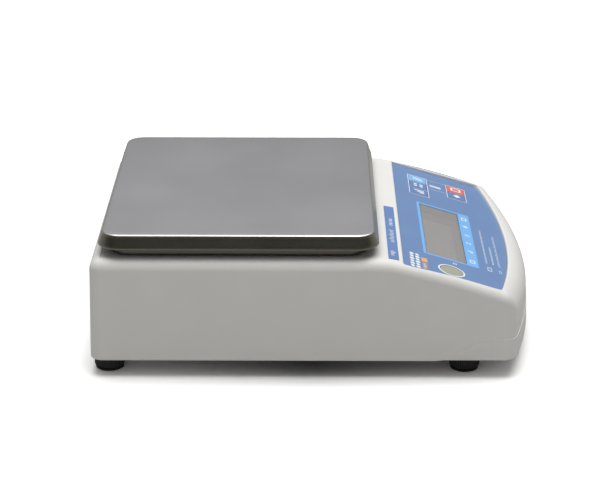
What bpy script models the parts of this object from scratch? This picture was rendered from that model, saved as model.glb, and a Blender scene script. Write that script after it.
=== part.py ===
"""Compact counting scale: moulded housing, loose steel pan, sloped membrane panel, four screw feet.

Metres, +Z up. The origin is on the bench, under the middle of the object. The operator stands on the -Y
side, and +X is to the operator's right.
"""

import math

import bmesh
import bpy
from mathutils import Vector

# Fits
GAP = 0.0003
TRAVEL_GAP = 0.0006

# Housing
HALF_WIDTH = 0.0865
REAR_Y = 0.1132
FRONT_Y = -0.1138
BOW_RADIUS = 0.312
REAR_CORNER = 0.0060
FRONT_CORNER = 0.0070
DRAFT = 0.020
DRAFT_Z = 0.030
COVER_BOTTOM = 0.0092
TRAY_BOTTOM = 0.0099
TRAY_TOP = 0.0275
WALL = 0.0025
FLOOR_TOP = TRAY_BOTTOM + WALL
TOP_Z = 0.0627
SIDE_EDGE = 0.0056
FRONT_EDGE = 0.0130
BOTTOM_EDGE = 0.0006
FRONT_BOTTOM_EDGE = 0.0015

# Roof line, falling towards the operator
BREAK_Y = -0.0315
BEND = 0.010
FIRST_SLOPE = 0.22
CROWN_RADIUS = 0.400

# Seam between cover and tray, rising at the front
SEAM_START = -0.0604
SEAM_END = -0.0914
SEAM_RISE = 0.0114
SEAM_SLOPE = 0.10

# Sloped panel
PANEL_ANGLE = math.radians(16.9)
PANEL_ORIGIN = Vector((0, -0.0450, 0.0594))
PANEL_HALF_REAR = 0.0818
PANEL_HALF_FRONT = 0.0798
PANEL_DEPTH = 0.0624
PANEL_ARC = 0.2975
OVERLAY_THICK = 0.0005
CIRCUIT_TOP = -0.0010
CIRCUIT_THICK = 0.0004
RECESS_DEPTH = 0.0017
PANEL_WALL = 0.0022
WINDOW_X = (-0.0535, 0.0228)
WINDOW_V = (-0.0355, -0.0135)
KEY_SIZE = (0.0107, 0.0112)
KEY_RAISE = 0.00025
KEY_THICK = 0.0006
KEY_CENTRES = {
    "key_count": (0.0425, -0.0145),
    "key_sample": (0.0533, -0.0145),
    "key_unit": (0.0640, -0.0145),
    "key_tare": (0.0533, -0.0374),
    "key_power": (0.0640, -0.0374),
}
LEVEL_AT = (-0.0696, -0.0260)
LEVEL_WINDOW_R = 0.0063
LEVEL_WELL_R = 0.0064
LEVEL_BOSS_R = 0.0085

# Pan and its support
PAN_CENTRE = Vector((0, 0.0380, 0))
PAN_SIZE = (0.168, 0.142)
PAN_TOP = 0.075
PAN_SKIRT = 0.0070
PAN_FLARE = 0.0022
PAN_SHEET = 0.0010
PAN_CORNER = 0.0095
SUPPORT_SIZE = (0.158, 0.1291)
SUPPORT_TOP = 0.0715
SUPPORT_BOTTOM = 0.0636
SUPPORT_SHEET = 0.0014
SUPPORT_CORNER = 0.0085
PAD_AT = (0.052, 0.044)
COLUMN_X = 0.029
COLUMN_RADIUS = 0.0095
HUB_HOLE_RADIUS = 0.0150

# Load cell, a single-point beam under the middle of the pan
CELL_LENGTH = 0.080
CELL_SIDE = 0.0127
CELL_BOTTOM = FLOOR_TOP + 0.0066
CELL_TOP = CELL_BOTTOM + CELL_SIDE
CELL_BLOCK = 0.022
CELL_BOLT_PITCH = 0.012
BOLT_RADIUS = 0.0020

# Levelling feet
FOOT_X = 0.0725
FOOT_Y = (0.1049, -0.0775)
FOOT_RADIUS = 0.0078
FOOT_PAD_TOP = 0.0014
FOOT_PAD_INSET = 0.0006
FOOT_CHAMFER = 0.0006
FOOT_WHEEL_TOP = COVER_BOTTOM - GAP
RIDGES = 24
RIDGE_DEPTH = 0.00035
STUD_RADIUS = 0.0030
STUD_TOP = 0.0260
SOCKET_RADIUS = 0.0062
SOCKET_REACH = 0.1090
SOCKET_TOP = 0.0240

# Fastening of the two shells
SCREW_AT = (0.0735, (0.0800, -0.0500))
POST_RADIUS = 0.0045
POST_TOP = 0.0180
SCREW_RADIUS = 0.0015
SCREW_HEAD = (0.0028, 0.0018)

# Battery, boards and sockets
BATTERY_SIZE = (0.097, 0.051, 0.024)
BATTERY_AT = Vector((0, -0.0080, FLOOR_TOP + GAP + BATTERY_SIZE[2] / 2))
DOOR_SIZE = (0.104, 0.058)
BOARD_THICK = 0.0016
MAIN_BOARD_SIZE = (0.104, 0.034)
MAIN_BOARD_AT = Vector((-0.002, 0.0800, 0.0190))
DISPLAY_BOARD_U = (-0.056, 0.068)
DISPLAY_BOARD_V = (-0.046, -0.008)
DISPLAY_BOARD_W = -0.0125
DISPLAY_POSTS = ((-0.053, -0.043), (0.065, -0.043), (0.065, -0.011), (0.031, -0.011))
JACK_X = 0.036
JACK_Z = 0.0262
JACK_RADIUS = 0.0050
PORT_X = -0.022
PORT_Z = 0.0262
PORT_SIZE = (0.0170, 0.0085)

for leftover in list(bpy.data.objects):
    bpy.data.objects.remove(leftover, do_unlink=True)


def new_collection(name):
    collection = bpy.data.collections.new(name)
    bpy.context.scene.collection.children.link(collection)
    return collection


PARTS = new_collection("counting_scale")
CUTTERS = new_collection("cutters")
CUTTERS.hide_render = True


def paint(name, colour, roughness, metallic=0.0):
    material = bpy.data.materials.new(name)
    material.use_nodes = True
    shader = material.node_tree.nodes["Principled BSDF"]
    shader.inputs["Base Color"].default_value = (*colour, 1.0)
    shader.inputs["Roughness"].default_value = roughness
    shader.inputs["Metallic"].default_value = metallic
    return material


COVER_PLASTIC = paint("cover_plastic", (0.78, 0.77, 0.72), 0.35)
TRAY_PLASTIC = paint("tray_plastic", (0.76, 0.75, 0.71), 0.38)
OVERLAY_BLUE = paint("overlay_blue", (0.16, 0.27, 0.52), 0.35)
LABEL_BLUE = paint("label_blue", (0.15, 0.26, 0.52), 0.4)
KEY_BLUE = paint("key_blue", (0.15, 0.25, 0.50), 0.4)
KEY_SKY = paint("key_sky", (0.25, 0.50, 0.80), 0.4)
KEY_RED = paint("key_red", (0.80, 0.16, 0.13), 0.4)
CIRCUIT_FILM = paint("circuit_film", (0.70, 0.70, 0.66), 0.5)
CLEAR = paint("clear_window", (0.60, 0.62, 0.60), 0.1)
DISPLAY_GLASS = paint("display_glass", (0.36, 0.38, 0.36), 0.2)
BOARD_GREEN = paint("board_green", (0.03, 0.18, 0.08), 0.5)
PAN_STEEL = paint("pan_steel", (0.55, 0.55, 0.56), 0.3, 1.0)
SUPPORT_STEEL = paint("support_steel", (0.50, 0.48, 0.46), 0.3, 1.0)
ZINC = paint("zinc_steel", (0.60, 0.60, 0.58), 0.35, 1.0)
ALUMINIUM = paint("cell_aluminium", (0.72, 0.73, 0.75), 0.35, 1.0)
RUBBER = paint("black_rubber", (0.02, 0.02, 0.02), 0.8)
FOOT_PLASTIC = paint("foot_plastic", (0.015, 0.015, 0.015), 0.5)
BATTERY_CASE = paint("battery_case", (0.04, 0.04, 0.045), 0.5)
LEVEL_VIAL = paint("level_vial", (0.42, 0.50, 0.36), 0.15)
PORT_PLASTIC = paint("port_plastic", (0.03, 0.03, 0.03), 0.45)
CABLE_GREY = paint("cable_grey", (0.25, 0.25, 0.26), 0.6)


# Making objects


def settle(obj, name, material, frame=None):
    """Names the object, gives it its material and puts it in the parts, under the frame if there is one."""
    obj.name = name
    obj.data.name = name
    obj.data.materials.clear()
    obj.data.materials.append(material)
    for collection in list(obj.users_collection):
        collection.objects.unlink(obj)
    PARTS.objects.link(obj)
    if frame:
        obj.parent = frame
    return obj


def as_cutter(obj, name, frame=None):
    """Turns an object into a cutter, which only Boolean modifiers read."""
    obj.name = name
    for collection in list(obj.users_collection):
        collection.objects.unlink(obj)
    CUTTERS.objects.link(obj)
    obj.hide_render = True
    obj.display_type = "WIRE"
    if frame:
        obj.parent = frame
    return obj


def boolean(obj, other, operation="DIFFERENCE"):
    modifier = obj.modifiers.new(other.name, "BOOLEAN")
    modifier.operation = operation
    modifier.object = other
    return obj


def smooth(obj, angle=math.radians(35)):
    obj.data.shade_smooth()
    obj.data.set_sharp_from_angle(angle=angle)
    return obj


def block(centre, size, bevel=0.0, segments=2):
    """A box, with its edges rounded if bevel is given."""
    bpy.ops.mesh.primitive_cube_add(size=1, location=centre)
    obj = bpy.context.object
    obj.scale = size
    bpy.ops.object.transform_apply(location=False, rotation=False, scale=True)
    if bevel:
        modifier = obj.modifiers.new("rounded", "BEVEL")
        modifier.width = bevel
        modifier.segments = segments
    return obj


def rod(low, high, x, y, radius, sides=24):
    """An upright cylinder between two heights."""
    centre = (x, y, (low + high) / 2)
    bpy.ops.mesh.primitive_cylinder_add(
        vertices=sides, radius=radius, depth=high - low, location=centre
    )
    return smooth(bpy.context.object)


def level_rod(y_low, y_high, x, z, radius, sides=24):
    """A cylinder lying along Y."""
    centre = (x, (y_low + y_high) / 2, z)
    bpy.ops.mesh.primitive_cylinder_add(
        vertices=sides,
        radius=radius,
        depth=y_high - y_low,
        location=centre,
        rotation=(math.pi / 2, 0, 0),
    )
    return smooth(bpy.context.object)


def mesh_object(name, bm):
    mesh = bpy.data.meshes.new(name)
    bm.to_mesh(mesh)
    bm.free()
    obj = bpy.data.objects.new(name, mesh)
    bpy.context.scene.collection.objects.link(obj)
    return obj


def turned(name, profile, steps=24):
    """A turned piece. The profile's points are (radius, height), from the top down the outer side."""
    bm = bmesh.new()
    points = [bm.verts.new((radius, 0, height)) for radius, height in profile]
    for upper, lower in zip(points, points[1:]):
        bm.edges.new((upper, lower))
    obj = mesh_object(name, bm)
    screw = obj.modifiers.new("turned", "SCREW")
    screw.steps = steps
    screw.render_steps = steps
    screw.use_merge_vertices = True
    screw.merge_threshold = 0.00001
    return obj


def flat_outline(name, points, low, high):
    """A flat piece with this outline, between two heights of its own frame."""
    curve = bpy.data.curves.new(name, "CURVE")
    curve.dimensions = "2D"
    curve.fill_mode = "BOTH"
    curve.extrude = (high - low) / 2
    spline = curve.splines.new("POLY")
    spline.points.add(len(points) - 1)
    for point, (x, y) in zip(spline.points, points):
        point.co = (x, y, 0, 1)
    spline.use_cyclic_u = True
    source = bpy.data.objects.new(name, curve)
    bpy.context.scene.collection.objects.link(source)
    bpy.context.view_layer.update()
    graph = bpy.context.evaluated_depsgraph_get()
    mesh = bpy.data.meshes.new_from_object(source.evaluated_get(graph))
    bpy.data.objects.remove(source, do_unlink=True)
    bm = bmesh.new()
    bm.from_mesh(mesh)
    bpy.data.meshes.remove(mesh)
    bmesh.ops.remove_doubles(bm, verts=bm.verts, dist=0.000001)
    bmesh.ops.translate(bm, verts=bm.verts, vec=(0, 0, (low + high) / 2))
    return mesh_object(name, bm)


def wire(name, points, radius, material):
    """A round cable through the points."""
    curve = bpy.data.curves.new(name, "CURVE")
    curve.dimensions = "3D"
    curve.bevel_depth = radius
    curve.bevel_resolution = 2
    curve.use_fill_caps = True
    spline = curve.splines.new("POLY")
    spline.points.add(len(points) - 1)
    for point, place in zip(spline.points, points):
        point.co = (*place, 1)
    obj = bpy.data.objects.new(name, curve)
    bpy.context.scene.collection.objects.link(obj)
    return settle(obj, name, material)


def arc_points(centre, radius, start, end, steps):
    """Points on an arc, from start to end degrees, both included."""
    angles = [math.radians(start + (end - start) * i / steps) for i in range(steps + 1)]
    return [(centre[0] + radius * math.cos(a), centre[1] + radius * math.sin(a)) for a in angles]


def rounded_rectangle(size, radius, steps=5):
    half_x, half_y = size[0] / 2 - radius, size[1] / 2 - radius
    corners = ((half_x, half_y, 0), (-half_x, half_y, 90), (-half_x, -half_y, 180), (half_x, -half_y, 270))
    points = []
    for x, y, start in corners:
        points += arc_points((x, y), radius, start, start + 90, steps)
    return points


def loft(bm, rings):
    """Joins rings of equal count, lowest first and anticlockwise from above, and closes the bottom."""
    levels = [[bm.verts.new(point) for point in ring] for ring in rings]
    count = len(levels[0])
    for low, high in zip(levels, levels[1:]):
        for i in range(count):
            j = (i + 1) % count
            bm.faces.new((low[i], low[j], high[j], high[i]))
    bm.faces.new(reversed(levels[0]))
    return levels


# Housing


def roof_height(y):
    """The roof is level, then bends down and steepens along a wide crown."""
    ahead = max(0.0, BREAK_Y - y)
    if ahead < BEND:
        return TOP_Z - FIRST_SLOPE * ahead**2 / (2 * BEND)
    beyond = ahead - BEND
    return TOP_Z - FIRST_SLOPE * (BEND / 2 + beyond) - beyond**2 / (2 * CROWN_RADIUS)


def panel_height(y):
    """The height of the panel's plane at y."""
    return PANEL_ORIGIN.z + (y - PANEL_ORIGIN.y) * math.tan(PANEL_ANGLE)


def ceiling_height(y):
    """The inside of the cover: one wall under the roof, and lower under the panel's recess."""
    under_panel = panel_height(y) - (RECESS_DEPTH + PANEL_WALL) / math.cos(PANEL_ANGLE)
    ramp = min(1.0, max(0.0, (PANEL_ORIGIN.y + 0.0075 - y) / 0.004))
    return (1 - ramp) * (roof_height(y) - WALL) + ramp * under_panel


def plan_half(inset):
    """The left half of the housing's plan, rear to front, as (x, y, normal x, normal y)."""
    centre_y = FRONT_Y + BOW_RADIUS
    corner_x = -(HALF_WIDTH - FRONT_CORNER)
    reach = math.sqrt((BOW_RADIUS - FRONT_CORNER) ** 2 - corner_x**2)
    corner_y = centre_y - reach
    turn = math.degrees(math.atan2(reach, -corner_x))
    arcs = [((-(HALF_WIDTH - REAR_CORNER), REAR_Y - REAR_CORNER), REAR_CORNER, 90, 180, 5)]
    stations = [0.02, BREAK_Y + 0.004] + [BREAK_Y - 0.0035 * i for i in range(5)]
    stations += [BREAK_Y - BEND - 0.008 * i for i in range(1, 7)]
    arcs.append(((corner_x, corner_y), FRONT_CORNER, 180, 180 + turn, 6))
    arcs.append(((0, centre_y), BOW_RADIUS, 180 + turn, 270, 10))
    half = []
    for centre, radius, start, end, steps in arcs:
        kept = max(radius - inset, 0.0008)
        normals = arc_points((0, 0), 1, start, end, steps)
        if radius == BOW_RADIUS:
            normals = normals[1:-1]
        shift = radius - inset - kept
        for nx, ny in normals:
            side = math.copysign(1, nx) if abs(nx) > 1e-9 else 0
            x = centre[0] + nx * kept + side * shift * (radius < BOW_RADIUS)
            y = centre[1] + ny * kept + math.copysign(shift, ny) * (radius < BOW_RADIUS)
            half.append((x, y, nx, ny))
        if radius == REAR_CORNER:
            half += [(-(HALF_WIDTH - inset), y, -1.0, 0.0) for y in stations]
    return half


def housing(name, inset, bottom, roof, edges, foot_edges):
    """A solid with the housing's plan, from bottom up to the roof line. Edges are (side, front) radii."""
    half = plan_half(inset)
    outline = half + [(0.0, FRONT_Y + inset, 0.0, -1.0)]
    outline += [(-x, y, -nx, ny) for x, y, nx, ny in reversed(half)]
    rings = []
    steps = 5

    def ring(radii, height_of):
        points = []
        for (x, y, nx, ny), radius in zip(outline, radii):
            inward, z = height_of(x, y, nx, ny, radius)
            inward += DRAFT * (z - DRAFT_Z)
            points.append((x - nx * inward, y - ny * inward, z))
        rings.append(points)

    def blended(pair):
        return [pair[0] + (pair[1] - pair[0]) * max(0.0, -ny) ** 2 for _, _, _, ny in outline]

    def foot_place(turn):
        return lambda x, y, nx, ny, r: (r * (1 - math.cos(turn)), bottom + r * (1 - math.sin(turn)))

    def roof_place(share):
        def place(x, y, nx, ny, r):
            inner = y - ny * r
            slope = (roof(inner + 0.0005) - roof(inner - 0.0005)) / 0.001
            tilt = math.atan(-ny * slope)
            turn = share * (math.pi / 2 - tilt)
            return r * (1 - math.cos(turn)), roof(inner) - r / math.cos(tilt) + r * math.sin(turn)

        return place

    for i in range(3 + 1):
        ring(blended(foot_edges), foot_place(math.pi / 2 * (1 - i / 3)))
    for i in range(steps + 1):
        ring(blended(edges), roof_place(i / steps))
    bm = bmesh.new()
    top = loft(bm, rings)[-1]
    count = len(half)
    for i in range(count - 1):
        bm.faces.new((top[i], top[i + 1], top[2 * count - i - 1], top[2 * count - i]))
    bm.faces.new((top[count - 1], top[count], top[count + 1]))
    return smooth(mesh_object(name, bm), math.radians(30))


def seam_height(y):
    """The seam runs along the bottom of the sides and rises in an S at the front."""
    share = min(1.0, max(0.0, (SEAM_START - y) / (SEAM_START - SEAM_END)))
    rise = SEAM_RISE * share**2 * (3 - 2 * share)
    return COVER_BOTTOM + rise + SEAM_SLOPE * max(0.0, SEAM_END - y)


def side_slab(name, profile):
    """A cutter as wide as the housing and more, with this profile of (y, z) points."""
    slab = flat_outline(name, profile, -0.1, 0.1)
    slab.rotation_euler = (math.pi / 2, 0, math.pi / 2)
    return as_cutter(slab, name)


def seam_points(shift):
    end_y = -0.130
    count = 16
    ys = [SEAM_START + (end_y - SEAM_START) * i / count for i in range(count + 1)]
    return [(y, seam_height(y) + shift) for y in ys]


def housing_cavity(name, low, inset=WALL):
    inner_edges = (SIDE_EDGE - WALL, FRONT_EDGE - WALL)
    flat_foot = (0.0001, 0.0001)
    cavity = housing(name, inset, low, ceiling_height, inner_edges, flat_foot)
    return as_cutter(cavity, name)


def screw_places():
    x, ys = SCREW_AT
    return [(side * x, y) for y in ys for side in (-1, 1)]


def foot_places():
    return [(side * FOOT_X, y) for y in FOOT_Y for side in (-1, 1)]


PANEL = bpy.data.objects.new("panel_frame", None)
PARTS.objects.link(PANEL)
PANEL.location = PANEL_ORIGIN
PANEL.rotation_euler = (PANEL_ANGLE, 0, 0)


def panel_outline(margin):
    """The panel's outline in its own plane: straight rear, sides drawing in, bowed front."""
    half_rear = PANEL_HALF_REAR + margin
    half_front = PANEL_HALF_FRONT + margin
    turn = math.degrees(math.asin(half_front / (PANEL_ARC + margin)))
    centre = (0, -PANEL_DEPTH + PANEL_ARC)
    front = arc_points(centre, PANEL_ARC + margin, 270 - turn, 270 + turn, 18)
    clip = 0.0012
    rear = [(half_rear, margin - clip), (half_rear - clip, margin)]
    rear += [(-half_rear + clip, margin), (-half_rear, margin - clip)]
    return front + rear


def world_of_panel(u, v, w=0.0):
    """World coordinates of a point of the panel's frame."""
    cos, sin = math.cos(PANEL_ANGLE), math.sin(PANEL_ANGLE)
    return Vector((u, PANEL_ORIGIN.y + v * cos - w * sin, PANEL_ORIGIN.z + v * sin + w * cos))


def level_place():
    """The level's window centre in world coordinates."""
    return world_of_panel(*LEVEL_AT)


def window_centre():
    return (sum(WINDOW_X) / 2, sum(WINDOW_V) / 2)


def window_size():
    return (WINDOW_X[1] - WINDOW_X[0], WINDOW_V[1] - WINDOW_V[0])


def panel_slot(name, centre, size, depth, height=0.003):
    """A rectangular cutter through the panel, from height above its plane down to depth."""
    middle = (centre[0], centre[1], (height - depth) / 2)
    return as_cutter(block(middle, (size[0], size[1], height + depth)), name, PANEL)


def build_top_cover():
    edges = (SIDE_EDGE, FRONT_EDGE)
    cover = housing("top_cover", 0.0, COVER_BOTTOM, roof_height, edges, (BOTTOM_EDGE, BOTTOM_EDGE))
    settle(cover, "top_cover", COVER_PLASTIC)
    boolean(cover, housing_cavity("cover_cavity", 0.004))
    profile = seam_points(0.0) + [(-0.130, 0.002), (SEAM_START, 0.002)]
    boolean(cover, side_slab("seam_below", profile))
    place = level_place()
    boss = rod(0.0385, place.z, place.x, place.y, LEVEL_BOSS_R)
    boolean(cover, as_cutter(boss, "level_boss"), "UNION")
    recess = flat_outline("panel_recess", panel_outline(GAP), -RECESS_DEPTH, 0.012)
    boolean(cover, as_cutter(recess, "panel_recess", PANEL))
    size = window_size()
    opening = (size[0] + 0.003, size[1] + 0.003)
    boolean(cover, panel_slot("display_opening", window_centre(), opening, 0.008))
    boolean(cover, panel_slot("tail_slot", (0.030, -0.050), (0.022, 0.003), 0.008))
    well = rod(0.0370, place.z + 0.010, place.x, place.y, LEVEL_WELL_R)
    boolean(cover, as_cutter(well, "level_well"))
    for i, (x, y) in enumerate(screw_places(), 1):
        boss = rod(POST_TOP + GAP, ceiling_height(y) + 0.0012, x, y, POST_RADIUS - 0.0005, 16)
        boolean(cover, as_cutter(boss, f"cover_boss_{i}"), "UNION")
        bore = rod(0.004, POST_TOP + 0.014, x, y, SCREW_RADIUS + GAP, 12)
        boolean(cover, as_cutter(bore, f"cover_bore_{i}"))
    for i, (u, v) in enumerate(DISPLAY_POSTS, 1):
        low = DISPLAY_BOARD_W + GAP
        high = -RECESS_DEPTH - PANEL_WALL + 0.0008
        post = rod(low, high, u, v, 0.0022, 12)
        boolean(cover, as_cutter(post, f"board_post_{i}", PANEL), "UNION")
    hub = rod(0.055, 0.070, COLUMN_X, PAN_CENTRE.y, HUB_HOLE_RADIUS, 32)
    boolean(cover, as_cutter(hub, "hub_hole"))
    jack = level_rod(0.100, 0.120, JACK_X, JACK_Z, JACK_RADIUS + GAP)
    boolean(cover, as_cutter(jack, "jack_hole"))
    port = block((PORT_X, 0.110, PORT_Z), (PORT_SIZE[0] + 2 * GAP, 0.02, PORT_SIZE[1] + 2 * GAP))
    boolean(cover, as_cutter(port, "port_hole"))
    return cover


def build_bottom_shell():
    edges = (0.0010, 0.0010)
    foot = (BOTTOM_EDGE, FRONT_BOTTOM_EDGE)
    tray = housing("bottom_shell", 0.0, TRAY_BOTTOM, lambda y: TRAY_TOP, edges, foot)
    settle(tray, "bottom_shell", TRAY_PLASTIC)
    boolean(tray, housing_cavity("tray_cavity", FLOOR_TOP))
    behind = [(-0.130, 0.045), (0.130, 0.045), (0.130, 0.004), (SEAM_START, 0.004)]
    rim = side_slab("cover_wall_zone", seam_points(-GAP) + behind)
    core = housing("rim_core", WALL + GAP, 0.002, lambda y: 0.060, edges, (0.0001, 0.0001))
    boolean(rim, as_cutter(core, "rim_core"))
    boolean(tray, rim)
    for i, (x, y) in enumerate(screw_places(), 1):
        post = rod(FLOOR_TOP - 0.001, POST_TOP, x, y, POST_RADIUS, 16)
        boolean(tray, as_cutter(post, f"tray_post_{i}"), "UNION")
        counterbore = rod(0.004, POST_TOP - 0.0028, x, y, SCREW_HEAD[0] + GAP, 16)
        boolean(tray, as_cutter(counterbore, f"counterbore_{i}"))
        hole = rod(0.004, POST_TOP + 0.002, x, y, SCREW_RADIUS + GAP, 12)
        boolean(tray, as_cutter(hole, f"tray_hole_{i}"))
    for i, (x, y) in enumerate(foot_places(), 1):
        socket = rod(FLOOR_TOP - 0.001, SOCKET_TOP, x, y, SOCKET_RADIUS, 20)
        behind = block((x, SOCKET_REACH + 0.01, 0.02), (0.02, 0.02, 0.04))
        boolean(socket, as_cutter(behind, f"socket_trim_{i}"))
        boolean(tray, as_cutter(socket, f"foot_socket_{i}"), "UNION")
        bore = rod(0.004, SOCKET_TOP + 0.004, x, y, STUD_RADIUS + GAP, 16)
        boolean(tray, as_cutter(bore, f"foot_bore_{i}"))
    opening = block((0, BATTERY_AT.y, 0.011), (DOOR_SIZE[0], DOOR_SIZE[1], 0.01))
    boolean(tray, as_cutter(opening, "battery_opening"))
    for i, (x, y) in enumerate(main_board_corners(), 1):
        low = FLOOR_TOP - 0.001
        post = rod(low, MAIN_BOARD_AT.z - BOARD_THICK / 2 - GAP, x, y, 0.0025, 12)
        boolean(tray, as_cutter(post, f"main_post_{i}"), "UNION")
    return tray


# Panel


def build_panel():
    overlay = flat_outline("panel_overlay", panel_outline(0.0), -OVERLAY_THICK, 0.0)
    settle(overlay, "panel_overlay", OVERLAY_BLUE, PANEL)
    depth = 0.001
    boolean(overlay, panel_slot("window_cut", window_centre(), window_size(), depth))
    for name, centre in KEY_CENTRES.items():
        size = (KEY_SIZE[0] - 0.0004, KEY_SIZE[1] - 0.0004)
        boolean(overlay, panel_slot(f"{name}_cut", centre, size, depth))
    hole = rod(-depth, depth, LEVEL_AT[0], LEVEL_AT[1], LEVEL_WINDOW_R, 32)
    boolean(overlay, as_cutter(hole, "level_window_cut", PANEL))
    build_window()
    build_keys()
    build_circuit()
    build_level()


def build_window():
    u, v = window_centre()
    size = window_size()
    centre = (u, v, -OVERLAY_THICK / 2)
    window = block(centre, (size[0] - 2 * GAP, size[1] - 2 * GAP, OVERLAY_THICK - 0.0001))
    settle(window, "display_window", CLEAR, PANEL)
    clear = rod(-OVERLAY_THICK, 0.0, LEVEL_AT[0], LEVEL_AT[1], LEVEL_WINDOW_R - GAP, 32)
    settle(clear, "level_window", CLEAR, PANEL)


def build_keys():
    """Raised key fields of the membrane. Each has its origin at its middle and travels along the normal."""
    colours = {"key_unit": KEY_SKY, "key_power": KEY_RED}
    for name, (u, v) in KEY_CENTRES.items():
        size = (KEY_SIZE[0] - 0.0010, KEY_SIZE[1] - 0.0010, KEY_THICK)
        key = block((0, 0, 0), size, bevel=0.00015, segments=1)
        key.location = (u, v, KEY_RAISE - KEY_THICK / 2)
        settle(key, name, colours.get(name, KEY_BLUE), PANEL)


def build_circuit():
    """The switch layer behind the overlay, with a raised dome under each key and a tail into the case."""
    outline = panel_outline(-0.0005)
    circuit = flat_outline("membrane_circuit", outline, CIRCUIT_TOP - CIRCUIT_THICK, CIRCUIT_TOP)
    settle(circuit, "membrane_circuit", CIRCUIT_FILM, PANEL)
    size = window_size()
    cut = (size[0] + 0.001, size[1] + 0.001)
    boolean(circuit, panel_slot("circuit_window", window_centre(), cut, 0.003))
    hole = rod(-0.003, 0.002, LEVEL_AT[0], LEVEL_AT[1], 0.0072, 24)
    boolean(circuit, as_cutter(hole, "circuit_level", PANEL))
    for name, (u, v) in KEY_CENTRES.items():
        dome = rod(CIRCUIT_TOP - 0.0002, CIRCUIT_TOP + 0.0002, u, v, 0.0034, 16)
        boolean(circuit, as_cutter(dome, f"{name}_dome", PANEL), "UNION")
    tail = block((0.030, -0.050, -0.0055), (0.020, 0.0010, 0.0090))
    boolean(circuit, as_cutter(tail, "circuit_tail", PANEL), "UNION")


def build_level():
    """A round bubble vial, upright in its well although the panel slopes."""
    place = level_place()
    radius = 0.0060
    top = 0.0085
    profile = [(0, top), (radius - 0.0006, top), (radius, top - 0.0006), (radius, 0.0003)]
    profile += [(radius - 0.0003, 0), (0, 0)]
    vial = turned("level_vial", profile, 28)
    vial.location = (place.x, place.y, 0.0390)
    settle(vial, "level_vial", LEVEL_VIAL)


def build_display():
    u, v = window_centre()
    size = window_size()
    top = -RECESS_DEPTH - PANEL_WALL - GAP
    glass_thick = 0.0026
    glass = block((u, v, top - glass_thick / 2), (size[0] + 0.006, size[1] + 0.006, glass_thick), 0.0003, 1)
    settle(glass, "display_glass", DISPLAY_GLASS, PANEL)
    light_top = top - glass_thick - GAP
    light_low = DISPLAY_BOARD_W + GAP
    middle = (light_top + light_low) / 2
    light = block((u, v, middle), (size[0] + 0.004, size[1] + 0.004, light_top - light_low), 0.0004, 1)
    settle(light, "display_backlight", COVER_PLASTIC, PANEL)
    us, vs = DISPLAY_BOARD_U, DISPLAY_BOARD_V
    centre = (sum(us) / 2, sum(vs) / 2, DISPLAY_BOARD_W - BOARD_THICK / 2)
    board = block(centre, (us[1] - us[0], vs[1] - vs[0], BOARD_THICK))
    settle(board, "display_board", BOARD_GREEN, PANEL)


def build_label():
    """A narrow printed strip on the roof's bend, between the pan and the panel."""
    rear, front = -0.0374, -0.0427
    left, right = -0.0800, -0.0015
    thick = 0.0002
    lift = 0.0001
    stations = [rear + (front - rear) * i / 4 for i in range(5)]
    rings = []
    for x in (left, right):
        lower = [(x, y, roof_height(y) + lift) for y in stations]
        upper = [(x, y, z + thick) for x, y, z in reversed(lower)]
        rings.append(lower + upper)
    bm = bmesh.new()
    levels = loft(bm, rings)
    bm.faces.new(levels[-1])
    bmesh.ops.recalc_face_normals(bm, faces=bm.faces)
    settle(mesh_object("label_strip", bm), "label_strip", LABEL_BLUE)


# Pan and support


def pressed_tray(name, size, corner, top, low, flare, sheet):
    """A sheet pressed downwards all round, solid outside minus a smaller solid inside."""

    def shell(label, shrink, z_top, z_low):
        plan = (size[0] - 2 * flare - 2 * shrink, size[1] - 2 * flare - 2 * shrink)
        bend = 0.0012 - min(shrink, 0.0008)
        rings = []
        for outward, z in ((flare, z_low), (0.0, z_top - bend)):
            grown = (plan[0] + 2 * outward, plan[1] + 2 * outward)
            rings.append((grown, corner + outward - shrink, z))
        for i in range(1, 4):
            turn = math.pi / 2 * i / 3
            inward = bend * (1 - math.cos(turn))
            shrunk = (plan[0] - 2 * inward, plan[1] - 2 * inward)
            rings.append((shrunk, corner - shrink - inward, z_top - bend * (1 - math.sin(turn))))
        loops = []
        for grown, radius, z in rings:
            outline = rounded_rectangle(grown, radius, 6)
            loops.append([(x + PAN_CENTRE.x, y + PAN_CENTRE.y, z) for x, y in outline])
        bm = bmesh.new()
        bm.faces.new(loft(bm, loops)[-1])
        return smooth(mesh_object(label, bm))

    tray = shell(name, 0.0, top, low)
    inside = shell(f"{name}_inside", sheet, top - sheet, low - 0.002)
    return boolean(tray, as_cutter(inside, f"{name}_inside"))


def build_pan():
    pan = pressed_tray("weighing_pan", PAN_SIZE, PAN_CORNER, PAN_TOP, PAN_TOP - PAN_SKIRT, PAN_FLARE, PAN_SHEET)
    settle(pan, "weighing_pan", PAN_STEEL)


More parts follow.
